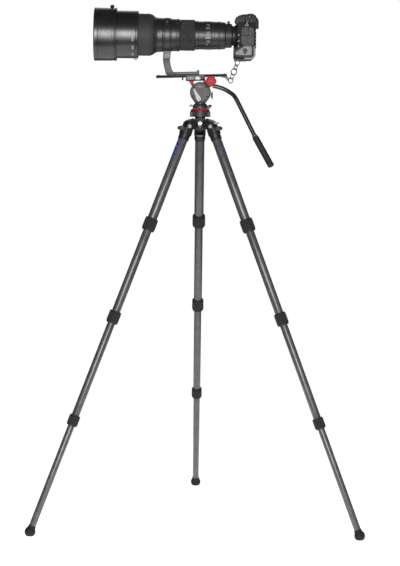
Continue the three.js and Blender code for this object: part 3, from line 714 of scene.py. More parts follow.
def build_spider():
    low, high = corners("spider")
    top, disc = high.z, 37
    hinge = (Vector(JOINTS["spread_right"]["pos_m"]) - AXIS) / MM
    pivot = Vector((math.hypot(hinge.x, hinge.y), Vector(JOINTS["spread_right"]["pos_m"]).z / MM))
    hub = lathe(rounded([(0, low.z), (21, low.z), (26.5, 1322), (26.5, 1340), (disc - 2, 1341.5),
                         (disc, 1343.5), (disc, top - 2.6), (disc - 3, top), (27, top),
                         (26, top - 1), (25, top), (0, top)], 0.8), 128)
    tongues = [spider_tongue(azimuth, pivot, pivot.y - 10, top - 5, 11.4) for azimuth in (90, 210, 330)]
    pads, bushes = zip(*[accessory_socket(azimuth, pivot.y + 8) for azimuth in (270, 30, 150)])
    hook = lathe(rounded([(0, low.z - 4), (4, low.z - 4), (6, low.z - 1), (6, low.z + 2),
                          (0, low.z + 2)], 1), 32)
    piece("spider_casting", joined([hub, *tongues, *pads, hook]), CAST, "tripod_base", "spider")
    piece("accessory_bushes", joined(bushes), BRIGHT, "tripod_base")
    lug = slab(rounded([(46, 1332.5), (64, 1334), (64.5, 1338), (60, 1340), (44, 1340)], 1.6), -30, -18, 1)
    piece("spider_lug", lug, GREY, "tripod_base")


def build_level_base():
    low, high = corners("level_base")
    band = high.x + 0.8
    core = lathe(rounded([(0, low.z), (17.5, low.z), (17.5, 1357), (band - 1.4, 1357), (band - 1, 1358),
                          (band - 1, 1375), (band - 3, 1376.3), (26, 1377), (26, high.z - 0.6),
                          (0, high.z - 0.6)], 0.6), 128)
    piece("level_core", core, CAST, "tripod_base", "level_base")
    knurl = prism(toothed(band, 96, 0.7), 1359.5, 1373.5)
    rims = [lathe(rounded(oblong(20, band, z, z + 1.6), 0.5), 128)
            for z in (1357.2, 1374.2)]
    piece("level_knurl", joined([knurl, *rims]), TURRET, "tripod_base")
    red = lathe(rounded([(24, 1376.6), (31.6, 1376.6), (31.8, 1379), (30.4, 1382), (27.2, high.z - 0.2),
                         (24, high.z - 0.2)], 0.7), 128)
    piece("level_ring", red, RED, "tripod_base")


build_spider()
build_level_base()


# ---------------------------------------------------------------- fluid head
TILT_Z = TILT.z / MM


def build_turret():
    low, _ = corners("pan_turret")
    cap = lathe(rounded([(0, low.z), (25.6, low.z), (25.6, 1388), (24.8, 1393.5), (22.6, 1398.6),
                         (0, 1398.6)], 1.0), 128)
    boss = slab(rounded([(15, low.z), (33, low.z), (34, low.z + 1.5), (33, 1391), (15, 1391.6)], 1.2),
                -9, 9, 0.8)
    piece("turret_cap", joined([cap, boss]), TURRET, "pan_head", "pan_turret")
    ring_band = lathe(rounded([(0, 1398.4), (21.6, 1398.4), (21.6, 1399.8), (20.4, 1400.6),
                               (0, 1400.6)], 0.5), 128)
    piece("turret_ring", ring_band, CAST, "pan_head")
    neck = lathe(rounded(oblong(0, 18, 1400.4, 1404.2), 0.5), 96)
    piece("turret_neck", neck, GREY, "pan_head")


def build_turret_controls():
    height = (Vector(JOINTS["pan_knob_turn"]["pos_m"]) / MM).z
    shaft = along_x(lathe(rounded(oblong(0, 3.3, 25.4, 33), 0.4), 32), z=height)
    tip = along_x(moved(knurled(4.6, 6, 20, 0.5), z=32), z=height)
    piece("pan_knob_shaft", shaft, GREY_DARK, "pan_lock", "pan_knob")
    piece("pan_knob_tip", tip, CAST, "pan_lock")
    stem = along_x(lathe(rounded(oblong(0, 2.4, -31, -25.4), 0.4), 24), z=height)
    blade = slab(rounded([(-38.5, 1391), (-36.5, 1389.5), (-29.5, 1397.5), (-31.5, 1399.5)], 1),
                 -3.4, 3.4, 0.6)
    piece("pan_lever_blade", joined([stem, blade]), CAST, "pan_drag", "pan_lever")


def build_housing():
    low, high = corners("head_housing")
    outer, inner, radius = -low.y, 22, high.x
    cheek = [(-18, low.z), (18, low.z), *arc(0, TILT_Z, radius, -32, 212, 60)]
    cheeks = [slab(cheek, y0, y1, 1.6) for y0, y1 in ((-outer, -inner), (inner, outer))]
    drum = slab(ring(20, 72, 0, TILT_Z), -inner - 1, inner + 1)
    foot = slab(rounded(oblong(-17, 17, low.z, low.z + 4), 0.8), -outer + 1, outer - 1)
    far = slab(ring(31.5, 96, 0, TILT_Z), outer - 1, high.y, 1.2)
    far_screws = [moved(turned(screw(2.3), -90, "X"), x=28 * math.cos(math.radians(turn)), y=high.y - 0.5,
                        z=TILT_Z + 28 * math.sin(math.radians(turn))) for turn in range(30, 390, 60)]
    piece("housing", joined([*cheeks, drum, foot, far]), CAST, "pan_head", "head_housing")
    piece("far_cover_screws", joined(far_screws), SCREW, "pan_head")


def build_side_cover():
    low, high = corners("side_cover")
    front, radius = low.y, high.x
    disc = slab(ring(radius, 120, 0, TILT_Z), front, high.y, 1.0)
    seats = []
    screws = []
    for turn, size in ((90, 1.6), (44, 3.7), (140, 3.7), (208, 3.1), (-31, 3.1)):
        x = 27.6 * math.cos(math.radians(turn))
        z = TILT_Z + 27.6 * math.sin(math.radians(turn))
        seats.append(slab(ring(size + 0.5, 32, x, z), front - 1, front + 2))
        screws.append(moved(turned(screw(size, height=1.8), 90, "X"), x=x, y=front + 2, z=z))
    rim = slab(ring(24.6, 96, 0, TILT_Z), front - 1, front + 0.5)
    middle = slab(ring(24.0, 96, 0, TILT_Z), front - 2, front + 2)
    groove = carved(rim, [middle])
    cover = carved(disc, [*seats, groove])
    spot = slab(ring(6.6, 64, -1, TILT_Z + 9), front - 0.5, front + 1, 0.3)
    badge = slab(rounded([(-8, TILT_Z + 17), (7, TILT_Z + 17), (8, TILT_Z + 19), (7, TILT_Z + 21),
                          (-8, TILT_Z + 21), (-9, TILT_Z + 19)], 1), front - 0.35, front + 1, 0.2)
    piece("cover_disc", joined([cover, spot]), COVER, "pan_head", "side_cover")
    piece("cover_badge", badge, GREY, "pan_head")
    piece("cover_screws", joined(screws), SCREW, "pan_head")


def teardrop(hub, radius, tip, tip_radius):
    angle = math.degrees(math.atan2(tip[1] - hub[1], tip[0] - hub[0]))
    return [*arc(*hub, radius, angle + 90, angle + 270, 24),
            *arc(*tip, tip_radius, angle - 90, angle + 90, 12)]


def build_tilt_controls():
    low, high = corners("tilt_lever")
    pivot = Vector(JOINTS["tilt_lever_turn"]["pos_m"]) / MM
    hub = (pivot.x, pivot.z)
    tip = (hub[0] - 16, hub[1] + 31)
    handle = slab(teardrop(hub, 7.6, tip, 3.0), low.y, high.y - 1.8, 0.6)
    dish = slab(ring(3.4, 32, *hub), low.y - 1, low.y + 1.2)
    piece("tilt_lever_arm", carved(handle, [dish]), PALE, "tilt_lock", "tilt_lever")
    # Painted shadow: a dark plate a little larger than the lever, set behind it to stand for the shaded outline
    # round the lever.
    lever_shadow_plate = slab(teardrop(hub, 9.6, (tip[0] + 0.4, tip[1] - 1), 4.4), high.y - 2, high.y, 0.4)
    piece("tilt_lever_painted_shadow", lever_shadow_plate, CAST, "tilt_lock")
    bolt = moved(turned(screw(2.6, height=1.4), 90, "X"), x=hub[0], y=low.y + 1.3, z=hub[1])
    piece("tilt_lever_bolt", bolt, SILVER, "tilt_lock")
    low, high = corners("drag_knob")
    centre = (low + high) / 2
    wheel = along_x(moved(knurled(13, 4, 44, 0.7, 0.5), z=high.x - 4), centre.y, centre.z)
    neck = along_x(lathe(rounded(oblong(0, 6, low.x, high.x - 3), 0.4), 32),
                   centre.y, centre.z)
    cap = along_x(lathe(rounded(oblong(0, 8, high.x - 1, high.x + 0.6), 0.5), 48),
                  centre.y, centre.z)
    piece("drag_wheel", wheel, GREY, "tilt_drag", "drag_knob")
    piece("drag_wheel_core", joined([neck, cap]), CAST, "tilt_drag")


# The plate and clamp lean a little, about this point.
DECK_X, DECK_Z = -30, 1493.8


def deck(x, z):
    """A point of the level plate and clamp leant with them."""
    slide = Vector(JOINTS["plate_slide"]["axis"])
    dx, dz = x - DECK_X, z - DECK_Z
    return (DECK_X + dx * slide.x - dz * slide.z, DECK_Z + dx * slide.z + dz * slide.x)


def on_deck(mesh):
    """A mesh drawn level, leant with the plate and clamp."""
    slide = Vector(JOINTS["plate_slide"]["axis"])
    lean = Matrix.Rotation(-math.atan2(slide.z, slide.x), 4, "Y")
    pivot = Vector((DECK_X, 0, DECK_Z))
    return moved(mesh, Matrix.Translation(pivot) @ lean @ Matrix.Translation(-pivot))


def build_cradle():
    width = 21.4
    top = 1477.2
    bore = slab(ring(20.8, 72, 0, TILT_Z), -30, 30)
    saddle = carved(slab(ring(30, 96, 0, TILT_Z), -width, width, 1.2), [bore])
    left = rounded([(-40, top + 8), (-39, 1476), (-32.5, 1466), (-26, TILT_Z + 14), (-14, TILT_Z + 25),
                    (-23.5, 1469), (-22, top + 8)], 2.5)
    right = rounded([(8, top + 8), (10, TILT_Z + 25), (24, TILT_Z + 14), (48, 1466.5), (48, 1477.5),
                     (40, top + 8)], 2.5)
    under_clamp = on_deck(bar(-90, 90, -90, 90, top, top + 60))
    arms = [carved(slab(outline, -width, width, 1.2), [under_clamp.copy()]) for outline in (left, right)]
    under_clamp.free()
    piece("cradle_casting", joined([saddle, *arms]), RED, "tilt_head", "cradle")
    seat = Vector(JOINTS["rosette_turn"]["pos_m"]) / MM
    boss = slab(ring(13.2, 72, seat.x, seat.z - 2), -45.4, -width + 1, 1.0)
    teeth = slab([(seat.x + x, seat.z - 2 + z) for x, z in toothed(12.6, 48, 1.2)], -46, -44)
    piece("rosette_boss", joined([boss, teeth]), RED, "tilt_head")


def build_rosette():
    """A six-lobed knob with a domed cap, a ridge across it and a bolt in the middle."""
    low, high = corners("rosette_knob")
    x, z = (low.x + high.x) / 2, (low.z + high.z) / 2
    radius = (high.x - low.x) / 2
    body = slab(lobed(radius + 1, 6, 1.4, 144, x, z), low.y + 3.5, high.y - 4, 1.8)
    skirt = slab(ring(radius - 1.2, 96, x, z), high.y - 5, high.y, 1.0)
    face = slab(ring(radius - 4.4, 96, x, z), low.y + 1.6, low.y + 5, 1.2)
    hub = slab(ring(5.6, 64, x, z), low.y, low.y + 3, 0.8)
    rim = [(radius - 8.6, 0), (radius - 8.6, 0.5), (radius - 7.4, 0.5), (radius - 7.4, 0)]
    seat = moved(turned(lathe(rim, 72), 90, "X"), x=x, y=low.y + 1.7, z=z)
    ridge = turned(bar(-radius + 5, radius - 5, -1.2, 1.2, 0, 3), -50, "Z")
    ridge = moved(turned(bevelled(ridge, 0.5), 90, "X"), x=x - 2, y=low.y + 3.4, z=z - 2)
    piece("rosette_grip", joined([body, skirt, face]), RED, "rosette", "rosette_knob")
    piece("rosette_cap", joined([hub, seat, ridge]), ACCENT, "rosette")


HANDLE_ROUTE = [(42, -53.6, 1461), (75.5, -55, 1451.5), (101, -61, 1437.5), (114.8, -68, 1424.5),
                (131.5, -76, 1394), (182, -99, 1294.5)]
GRIP_END = Vector((237.5, -125, 1196))


def build_handle():
    """The bent tube with its rosette eye, and the ribbed grip on its end."""
    tube = swept(smooth_route(HANDLE_ROUTE, 12), 7, 48)
    seat = Vector(JOINTS["handle_swing"]["pos_m"]) / MM
    eye = slab(ring(13.4, 72, seat.x, seat.z), -61.2, -46.4, 1.2)
    cheeks = [slab([(seat.x + x, seat.z + z) for x, z in toothed(12.8, 48, 1.2)], y0, y1)
              for y0, y1 in ((-61.5, -60.8), (-46.9, -46.3))]
    piece("handle_tube", joined([tube, eye, *cheeks]), HANDLE, "handle", "pan_handle")
    start = Vector(HANDLE_ROUTE[-1])
    way = GRIP_END - start
    length, radius = way.length, 10.8
    outline = [(0, 0.9), (8.2, 0.9), (9.8, 2), (radius, 5), (radius, length - 5), (radius - 1, length - 1.6),
               (radius - 3, length), (0, length)]
    count = int((length - 22) / 4.2)
    grooves = [lathe([(radius + 2, z), (radius + 2, z + 1), (radius - 0.7, z + 0.8),
                      (radius - 0.7, z + 0.2)], 64)
               for z in (12 + 4.2 * k for k in range(count))]
    grip = carved(lathe(rounded(outline, 1.0), 64), [joined(grooves)])
    collar = lathe(rounded([(7.2, -5), (8.6, -4.4), (8.6, 1.2), (7.2, 1.2)], 0.5), 64)
    pose = basis(start, way, (0, 0, 1))
    piece("grip_sleeve", moved(grip, pose), RUBBER, "handle", "handle_grip")
    piece("grip_collar", moved(collar, pose), GREY, "handle")


# ---------------------------------------------------------------- clamp, balance plate, foot and arm
def build_clamp():
    low, high = -50, 15
    bottom, half = 1477.5, 25
    section = [(-15, bottom), (half - 1.5, bottom), (half, bottom + 1.5), (half, 1495), (half - 1, 1496.2),
               (20, 1496.2), (16.6, 1493.8), (20, 1491), (20, 1489.4), (-15, 1489.4)]
    body = turned(slab(rounded(section, 0.8), -high, -low, 0.5), 90, "Z")
    holes = [moved(lathe(oblong(0, 2.6, -1, 30), 24), x=x, y=21, z=bottom + 16)
             for x in (-40, 5)]
    piece("clamp_base", on_deck(carved(body, holes)), CAST, "tilt_head", "clamp_body")
    jaw = [(-half, bottom + 4), (-half + 2.5, bottom + 0.6), (-15.4, bottom + 0.6), (-15.4, 1489.2),
           (-20.2, 1489.2), (-20.2, 1491), (-16.8, 1493.8), (-20.2, 1496.2), (-half, 1496.2)]
    jaw_bar = turned(slab(rounded(jaw, 0.7), -high, -low, 0.5), 90, "Z")
    corner = bar(-8, 8, -40, 40, -30, 0)
    cut = moved(turned(corner, 38, "Y"), x=low - 1, z=bottom + 9)
    piece("jaw_bar", on_deck(carved(jaw_bar, [cut])), CAST, "jaw", "clamp_jaw")
    plate = slab(rounded([(-43, 1480.4), (-21.5, 1480.4), (-21.5, 1492), (-46, 1492), (-46, 1484.5)], 1.2),
                 -half - 1.2, -half + 0.5, 0.4)
    piece("jaw_plate", on_deck(plate), GREY, "jaw")
    marks = [slab(oblong(x, x + 0.7, 1493.3, 1495.3), -half - 0.15, -half + 0.2)
             for x in range(-12, 14, 4)]
    piece("jaw_marks", on_deck(joined(marks)), WHITE, "jaw")
    low, high = corners("clamp_knob")
    centre = (low + high) / 2
    knob = moved(turned(knurled(9.4, high.y - low.y - 3, 40, 0.8, 0.8), 90, "X"), y=high.y - 3)
    stem = turned(lathe(oblong(0, 4, 0, 4), 32), 90, "X")
    flat = Matrix.Diagonal((1.06, 1, 0.7, 1))
    whole = moved(joined([knob, moved(stem, y=high.y)]), flat)
    piece("jaw_knob", moved(whole, x=centre.x, z=centre.z), SILVER, "jaw_screw", "clamp_knob")


def plate_section(half, neck, bottom, top):
    """The dovetail outline across the plate, with a shallow channel along its top."""
    waist = (bottom + top) / 2
    right = [(half - 0.6, bottom), (half, bottom + 0.6), (half, bottom + 1.8), (neck, waist),
             (half, top - 1.8), (half, top - 0.6), (half - 0.6, top), (8, top), (7.4, top - 1.2)]
    return [*right, *[(-x, z) for x, z in reversed(right)]]


def build_plate():
    x0, x1, bottom, top, half = -149, 88, 1489.3, 1498.3, 19
    rail = turned(slab(plate_section(half, 16, bottom, top), -x1, -x0, 0.5), 90, "Z")
    pin = moved(knurled(2.6, 9.5, 12, 0.3, 0.4), x=-60.5, z=bottom - 9)
    piece("rail", on_deck(joined([rail, pin])), PLATE, "rig", "long_plate")
    ticks = [slab(oblong(x, x + 1.1, top - 1.75, top - 0.1),
                  -half - 0.15, -half + 0.3) for x in range(22, 87, 3)]
    ticks += [bar(x, x + 1, -half + 1, -half + (7 if x % 15 == 0 else 4), top - 0.5, top + 0.12)
              for x in range(-130, 87, 5) if not -112 < x < 1]
    piece("rail_graduations", on_deck(joined(ticks)), WHITE, "rig")
    caps = [moved(screw(2.4, height=1.6), x=x, y=y, z=top - 0.3) for x in (-140, 80) for y in (-12, 12)]
    piece("rail_screws", on_deck(joined(caps)), SCREW, "rig")
    pivot = Vector(JOINTS["arm_lower_swing"]["pos_m"]) / MM
    ax, az = pivot.x, pivot.z
    ear = [(80, bottom + 5), (80, bottom), (ax - 6, az - 3), *arc(ax, az, 6.8, 205, 405, 14),
           (86, bottom + 5)]
    bracket = slab(rounded(ear, 0.8), -4.6, 4.6, 0.8)
    shoe = slab(rounded(oblong(70, 90, bottom - 3, bottom + 1.2), 1),
                -14, 14, 0.7)
    piece("rail_bracket", joined([bracket, on_deck(shoe)]), GREY_DARK, "rig")


def build_foot():
    """The lens foot: a sloping upright that turns into a bar along the plate."""
    base, thick = 1498.6, 9.5
    x0, x1, joint = -127, -104, 1550
    inner = [deck(-91, base + thick), (-95.5, 1512.5), (-98.6, 1521), (-101.6, 1532)]
    outline = [deck(-113, base), deck(-4, base), deck(-4, base + thick + 5), deck(-10.4, base + thick + 5),
               deck(-12, base + thick), *inner, (x1, joint), (x0, joint), (-124.5, 1530), (-119, 1508),
               deck(-117.5, base + 5)]
    foot = slab(rounded(outline, 3, 4), -17, 17, 1.6)
    slots = [slab(rounded([(-116.5, 1538), (-109.5, 1538), (-106, 1516), (-112, 1513)], 2), y0, y1)
             for y0, y1 in ((-19, -15.6), (15.6, 19))]
    piece("foot_casting", carved(foot, slots), CAST_SATIN, "rig", "lens_foot")
    strip = [deck(-80, base + 3.6), deck(-15, base + 3.6), deck(-15, base + 4.8), deck(-80, base + 4.8)]
    piece("foot_line", slab(strip, -17.2, 17.2), GREY_DARK, "rig")
    bolts = [moved(turned(screw(1.9, height=1.4), 90, "X"), x=x, y=-16.9, z=z)
             for x in (-119.4, -111) for z in (joint - 4.6, joint - 11)]
    piece("foot_bolts", joined(bolts), SCREW, "rig")


def link(start, end, start_radius, end_radius, eye, y0, y1):
    slope = math.degrees(math.atan2(end[1] - start[1], end[0] - start[0]))
    waist = min(start_radius, end_radius) * 0.72
    dx, dz = math.cos(math.radians(slope)), math.sin(math.radians(slope))
    middle = ((start[0] + end[0]) / 2, (start[1] + end[1]) / 2)
    outline = [*arc(*start, start_radius, slope + 55, slope + 305, 28),
               (middle[0] + dz * waist, middle[1] - dx * waist),
               *arc(*end, end_radius, slope - 125, slope + 125, 28),
               (middle[0] - dz * waist, middle[1] + dx * waist)]
    window = slab(ring(eye, 40, *middle), y0 - 2, y1 + 2)
    return carved(slab(outline, y0, y1, 0.9), [window])


def build_arm():
    low, high = corners("lower_link")
    lower, upper = (Vector(JOINTS[name]["pos_m"]) / MM for name in ("arm_lower_swing", "arm_upper_swing"))
    a, b = (lower.x, lower.z), (upper.x, upper.z)
    c = (122.5, 1540)
    piece("link_lower", link(a, b, 8.5, 9.5, 4.6, low.y, high.y), SILVER_DARK, "arm_lower", "lower_link")
    bolts = [moved(turned(turned(screw(5.8, True, 2.2), 40, "Z"), 90, "X"), x=a[0], y=low.y + 0.3, z=a[1])]
    piece("link_lower_bolt", joined(bolts), BRIGHT, "arm_lower")
    low, high = corners("upper_link")
    piece("link_upper", link(b, c, 10.6, 7.9, 3.6, low.y, high.y), SILVER_DARK, "arm_upper", "upper_link")
    bolts = [moved(turned(turned(screw(7.4, True, 2.4), 85, "Z"), 90, "X"), x=b[0], y=low.y + 0.3, z=b[1]),
             moved(turned(turned(screw(6.4, True, 2.4), 70, "Z"), 90, "X"), x=c[0], y=low.y + 0.3, z=c[1])]
    piece("link_upper_bolts", joined(bolts), BRIGHT, "arm_upper")


build_turret()
build_turret_controls()
build_housing()
build_side_cover()
build_tilt_controls()
build_cradle()
build_rosette()
build_handle()
build_clamp()
build_plate()
build_foot()
build_arm()


# ---------------------------------------------------------------- lens
LENS_Z = LENS.z / MM
MOUNT_X = corners("lens_barrel")[1].x
COLLAR_LOW, COLLAR_HIGH = corners("collar_ring")
FOCUS_LOW, FOCUS_HIGH = corners("focus_ring")
DIGIT_BARS = {"1": "bc", "3": "abgcd", "5": "afgcd", "7": "abc", "0": "abcdef"}


def disc(radius, height, edge=0.5, sides=48):
    """A round plate or button standing on its base."""
    return lathe(rounded(oblong(0, radius, 0, height), edge), sides)


def lens_ring(outline, ease=0.4, sides=160, wave=None):
    """An (x, radius) outline turned about the lens's axis."""
    turned_outline = rounded([(radius, x) for x, radius in outline], ease, 2)
    return along_x(lathe(turned_outline, sides, wave), z=LENS_Z)


def lens_patch(x0, x1, low, high, radius):
    """A thin printed patch on the near side, between two elevations in degrees."""
    return along_x(sleeve_patch(radius, x0, x1, 180 - high, 180 - low, 0.12), z=LENS_Z)


def printed_digits(text, x, middle, radius, tall=8.4, wide=5.4, stroke=1.3):
    """Digits made of straight bars, centred at an elevation on the lens's near side."""
    degrees_per_mm = 180 / (math.pi * radius)
    bars = {"a": (0, wide, tall - stroke, tall), "g": (0, wide, (tall - stroke) / 2, (tall + stroke) / 2),
            "d": (0, wide, 0, stroke), "f": (0, stroke, tall / 2, tall), "e": (0, stroke, 0, tall / 2),
            "b": (wide - stroke, wide, tall / 2, tall), "c": (wide - stroke, wide, 0, tall / 2)}
    patches = []
    for place, digit in enumerate(text):
        start = x + place * (wide + 1.6)
        for name in DIGIT_BARS[digit]:
            x0, x1, z0, z1 = bars[name]
            patches.append(lens_patch(start + x0, start + x1, middle + (z0 - tall / 2) * degrees_per_mm,
                                      middle + (z1 - tall / 2) * degrees_per_mm, radius))
    return patches


def wire_loop(points, radius):
    """A closed wire through the points."""
    route = smooth_route([*points, points[0], points[1]], 6)[:-6]
    return swept([Vector(point) for point in route], radius, 12)


def on_barrel(x, elevation, radius):
    turn = math.radians(elevation)
    return (x, -radius * math.cos(turn), LENS_Z + radius * math.sin(turn))


def build_barrel():
    """A matte front, a shiny neck, a bed for the rings, and the rear down to the bayonet."""
    front = [(-236, 70.5), (-172, 70.5), (-163, 67.5), (-158.5, 64.8), (-158.5, 53), (-170, 58),
             (-222, 60), (-222, 65), (-236, 65)]
    neck = [(-158.3, 64), (-155, 61.8), (-151, 59.4), (-146, 57.6), (-142, 57), (-129.6, 57),
            (-129, 56.2), (-127.5, 56.2), (-127.5, 46), (-158.3, 52.6)]
    bed = [(-127.6, 52), (-99.6, 52), (-99.6, 53.4), (-98.8, 54), (-84, 54), (-83.4, 53.4),
           (-82, 53.4), (-81.4, 54), (-79, 54), (-78.4, 54.7), (-74.6, 54.7), (-74, 54), (-71.4, 53.6),
           (-70.6, 52.4), (-70.6, 46.2), (-19.4, 46.2), (-19.4, 40), (-60, 40), (-127.6, 45.6)]
    rear = [(-19.5, 46.4), (-19.2, 47.6), (-18.4, 48), (-9, 48), (-8.2, 47), (9.4, 46.8), (10.2, 47.6),
            (34, 47.6), (34.8, 46.6), (37.6, 46.6), (38.2, 47.1), (43.4, 47), (44, 46.4), (56.4, 46.2),
            (57, 46.9), (61.4, 46.9), (62, 46.1), (70, 46), (79, 44.8), (81, 44), (82, 43), (82, 41),
            (83.4, 40.4), (101.6, 40), (103, 38.4), (103.4, 34), (106, 33), (MOUNT_X - 2, 32),
            (MOUNT_X, 31), (MOUNT_X, 22), (102, 26), (78, 34), (-19.5, 38.4)]
    piece("barrel_front", lens_ring(front, 1.2), MATTE_PAINT, "rig", "lens_barrel")
    piece("barrel_neck", lens_ring(neck, 0.6), LENS_PAINT, "rig")
    piece("barrel_bed", lens_ring(bed, 0.3), LENS_PAINT, "rig")
    piece("barrel_rear", lens_ring(rear, 0.3), LENS_PAINT, "rig")
    ribs = [lens_ring(oblong(x, x + 1.5, 39, 40.9), 0.3) for x in range(85, 100, 3)]
    piece("barrel_ribs", joined(ribs), MATTE_PAINT, "rig")
    piece("barrel_bead", lens_ring(oblong(57.4, 61, 46, 47.3), 0.5), LENS_PAINT, "rig")
    seal = lens_ring(oblong(MOUNT_X - 3.4, MOUNT_X - 0.6, 30, 33.6), 0.6)
    piece("mount_seal", seal, RUBBER, "rig")


def build_lens_marks():
    rows = ((44.7, "70"), (28.6, "30"), (8.1, "15"), (-27.5, "10"), (-43.4, "7"))
    marks = [patch for middle, text in rows for patch in printed_digits(text, 16, middle, 47.6)]
    marks += [lens_patch(x, x + 4.6, -15.5, -7.5, 47.6) for x in (14.5, 20.6, 26.7)]
    marks += [lens_patch(39.4, 41.4, middle - 0.4, middle + 0.4, 47.1) for middle in range(-40, 50, 10)]
    marks.append(lens_patch(-133, -130, 4, 9, 57.0))
    marks.append(lens_patch(COLLAR_LOW.x + 1, COLLAR_LOW.x + 5, 1, 3, COLLAR_HIGH.y))
    piece("lens_marks", joined(marks), WHITE, "rig")
    strips = [(-230, -225, -18.4, 0.4), (-230, -225, -40.5, -29.8), (-230, -225, -62.5, -52.5)]
    printed = [lens_patch(*strip, 79.5) for strip in strips]
    piece("hood_marks", joined(printed), WHITE, "rig")


def build_lens_fittings():
    """Two strap rings on the barrel's near side and the filter drawer's knob on top."""
    low_ring = [on_barrel(-77, -13, 56.4), on_barrel(-93, -34.5, 56.6), on_barrel(-79.5, -46, 56.2)]
    high_ring = [on_barrel(-74, 51, 56.2), on_barrel(-86, 41, 56.6), on_barrel(-77, 36, 56.4)]
    for name, points, middle in (("low", low_ring, -28), ("high", high_ring, 44)):
        corners_eased = []
        for start, end in zip(points, points[1:] + points[:1]):
            corners_eased += [Vector(start).lerp(Vector(end), 0.12), Vector(start).lerp(Vector(end), 0.88)]
        piece(f"strap_ring_{name}", wire_loop(corners_eased, 0.9), SATIN_RING, "rig")
        lug = turned(disc(3.6, 3.4, 0.8), 90, "X")
        seat = turned(moved(lug, y=-53), -middle, "X")
        piece(f"strap_lug_{name}", moved(seat, x=-77, z=LENS_Z), LENS_PAINT, "rig")
    stem = moved(disc(3.4, 12, 0.5), z=LENS_Z + 34)
    head = moved(knurled(5.2, 5, 20, 0.5, 0.7), z=LENS_Z + 43.5)
    seat = moved(disc(8.5, 3, 0.8), z=LENS_Z + 37.5)
    piece("drawer_knob", moved(joined([stem, head, seat]), x=91.5), LENS_PAINT, "rig")


def build_rings():
    """The rubber focus ring, and the collar that the foot hangs from."""
    x0, x1, radius = FOCUS_LOW.x, FOCUS_HIGH.x, FOCUS_HIGH.y
    bands = [x0 + 4 + (x1 - x0 - 8) * share for share in (0, 0.2, 0.4, 0.6, 0.8, 1)]

    def rib(reach, x, turn):
        inside = any(low + 0.7 < x < high - 0.7 for low, high in zip(bands, bands[1:]))
        return reach - 0.7 if inside and round(turn / TURN * 480) % 4 < 2 else reach

    outline = [(x0, 46.8), (x0, radius - 1.4), (x0 + 1, radius - 0.6), (bands[0] - 1, radius - 0.6)]
    for low, high in zip(bands, bands[1:]):
        outline += [(low, radius - 0.9), (low + 0.6, radius - 0.9), (low + 0.8, radius), (high - 0.8, radius),
                    (high - 0.6, radius - 0.9)]
    outline += [(x1 - 3, radius - 0.6), (x1 - 1, radius - 1.2), (x1, radius - 2), (x1, 46.8)]
    ring_mesh = along_x(lathe([(reach, x) for x, reach in outline], 480, rib), z=LENS_Z)
    piece("focus_rubber", ring_mesh, RING_RUBBER, "focus", "focus_ring", sharp=40)
    x0, x1, radius = COLLAR_LOW.x, COLLAR_HIGH.x, COLLAR_HIGH.y
    band = lens_ring([(x0, 52.7), (x0, radius - 1.6), (x0 + 1.6, radius), (x0 + 4, radius),
                      (x0 + 4.6, radius - 0.7), (x0 + 6, radius - 0.7), (x0 + 6.6, radius),
                      (x1 - 6.6, radius), (x1 - 6, radius - 0.7), (x1 - 4.6, radius - 0.7),
                      (x1 - 4, radius), (x1 - 1.6, radius), (x1, radius - 1.6), (x1, 52.7)], 0.3)
    base = COLLAR_LOW.z
    flare = [(x0, base), (x1 - 2, base), (x1 - 2, base + 9), (x1 - 1, base + 26), (x0 + 1, base + 26),
             (x0, base + 9)]
    bore = lens_ring([(x0 - 5, 0), (x0 - 5, 54), (x1 + 5, 54), (x1 + 5, 0)], 0)
    pedestal = carved(slab(rounded(flare, 1.5), -19, 19, 1.4), [bore])
    piece("collar_band", joined([band, pedestal]), LENS_PAINT, "rig", "collar_ring")
    bolts = [moved(turned(disc(2, 1.2, 0.4), 90, "X"), x=x, y=-18.8, z=base + 4.6)
             for x in (x0 + 7.6, x0 + 16)]
    piece("collar_bolts", joined(bolts), GREY, "rig")
    joint = JOINTS["collar_knob_turn"]
    place = basis(joint["pos_m"], joint["axis"], (1, 0, 0))
    foot = radius + 0.3
    grip = moved(knurled(11, 8.4, 26, 1.0, 1.0), z=foot + 3)
    cap = moved(disc(7.4, 3, 1.0), z=foot + 10.6)
    stem = moved(disc(4.8, 6, 0.3), z=foot)
    piece("collar_knob_grip", joined([grip, stem]), LENS_PAINT, "collar_lock", "collar_knob", place=place)
    piece("collar_knob_cap", cap, GREY_DARK, "collar_lock", place=place)
    boss = moved(lathe(rounded([(0, -4), (9, -4), (9, -0.4), (7.4, 0.1), (0, 0.1)], 0.6), 64), z=foot)
    piece("collar_boss", boss, LENS_PAINT, "rig", place=place)


def build_front_glass():
    """The front element in its ring, a smaller element behind it, and blackened baffles between."""
    front = [(-239, 0), (-237.6, 30), (-235.1, 50), (-233.2, 59), (-223.2, 60.5), (-224.4, 50),
             (-225.6, 30), (-226.4, 0)]
    piece("front_element", lens_ring(front, 0, 160), GLASS, "rig", "front_glass")
    hold = [(-236, 60.7), (-232.6, 61), (-222.8, 61), (-222.8, 64.6), (-235.6, 64.6), (-236.2, 63.4)]
    piece("retaining_ring", lens_ring(hold, 0.4), FLOCK, "rig")
    baffles = []
    for step in range(7):
        x, reach = -219 + 8 * step, 59.4 - 0.25 * step
        blade = [(x, reach), (x + 1, reach), (x + 1, reach - 5 - step), (x + 0.4, reach - 5.4 - step)]
        baffles.append(lens_ring(blade, 0))
    piece("barrel_baffles", joined(baffles), FLOCK, "rig")
    inner = [(-166, 0), (-164, 20), (-160, 41), (-157, 41), (-156, 20), (-155.6, 0)]
    piece("inner_element", lens_ring(inner, 0, 128), GLASS, "rig")
    back = lens_ring([(-154, 0), (-154, 52), (-150, 52), (-150, 0)], 0.5)
    piece("barrel_darkness", back, FLOCK, "rig")


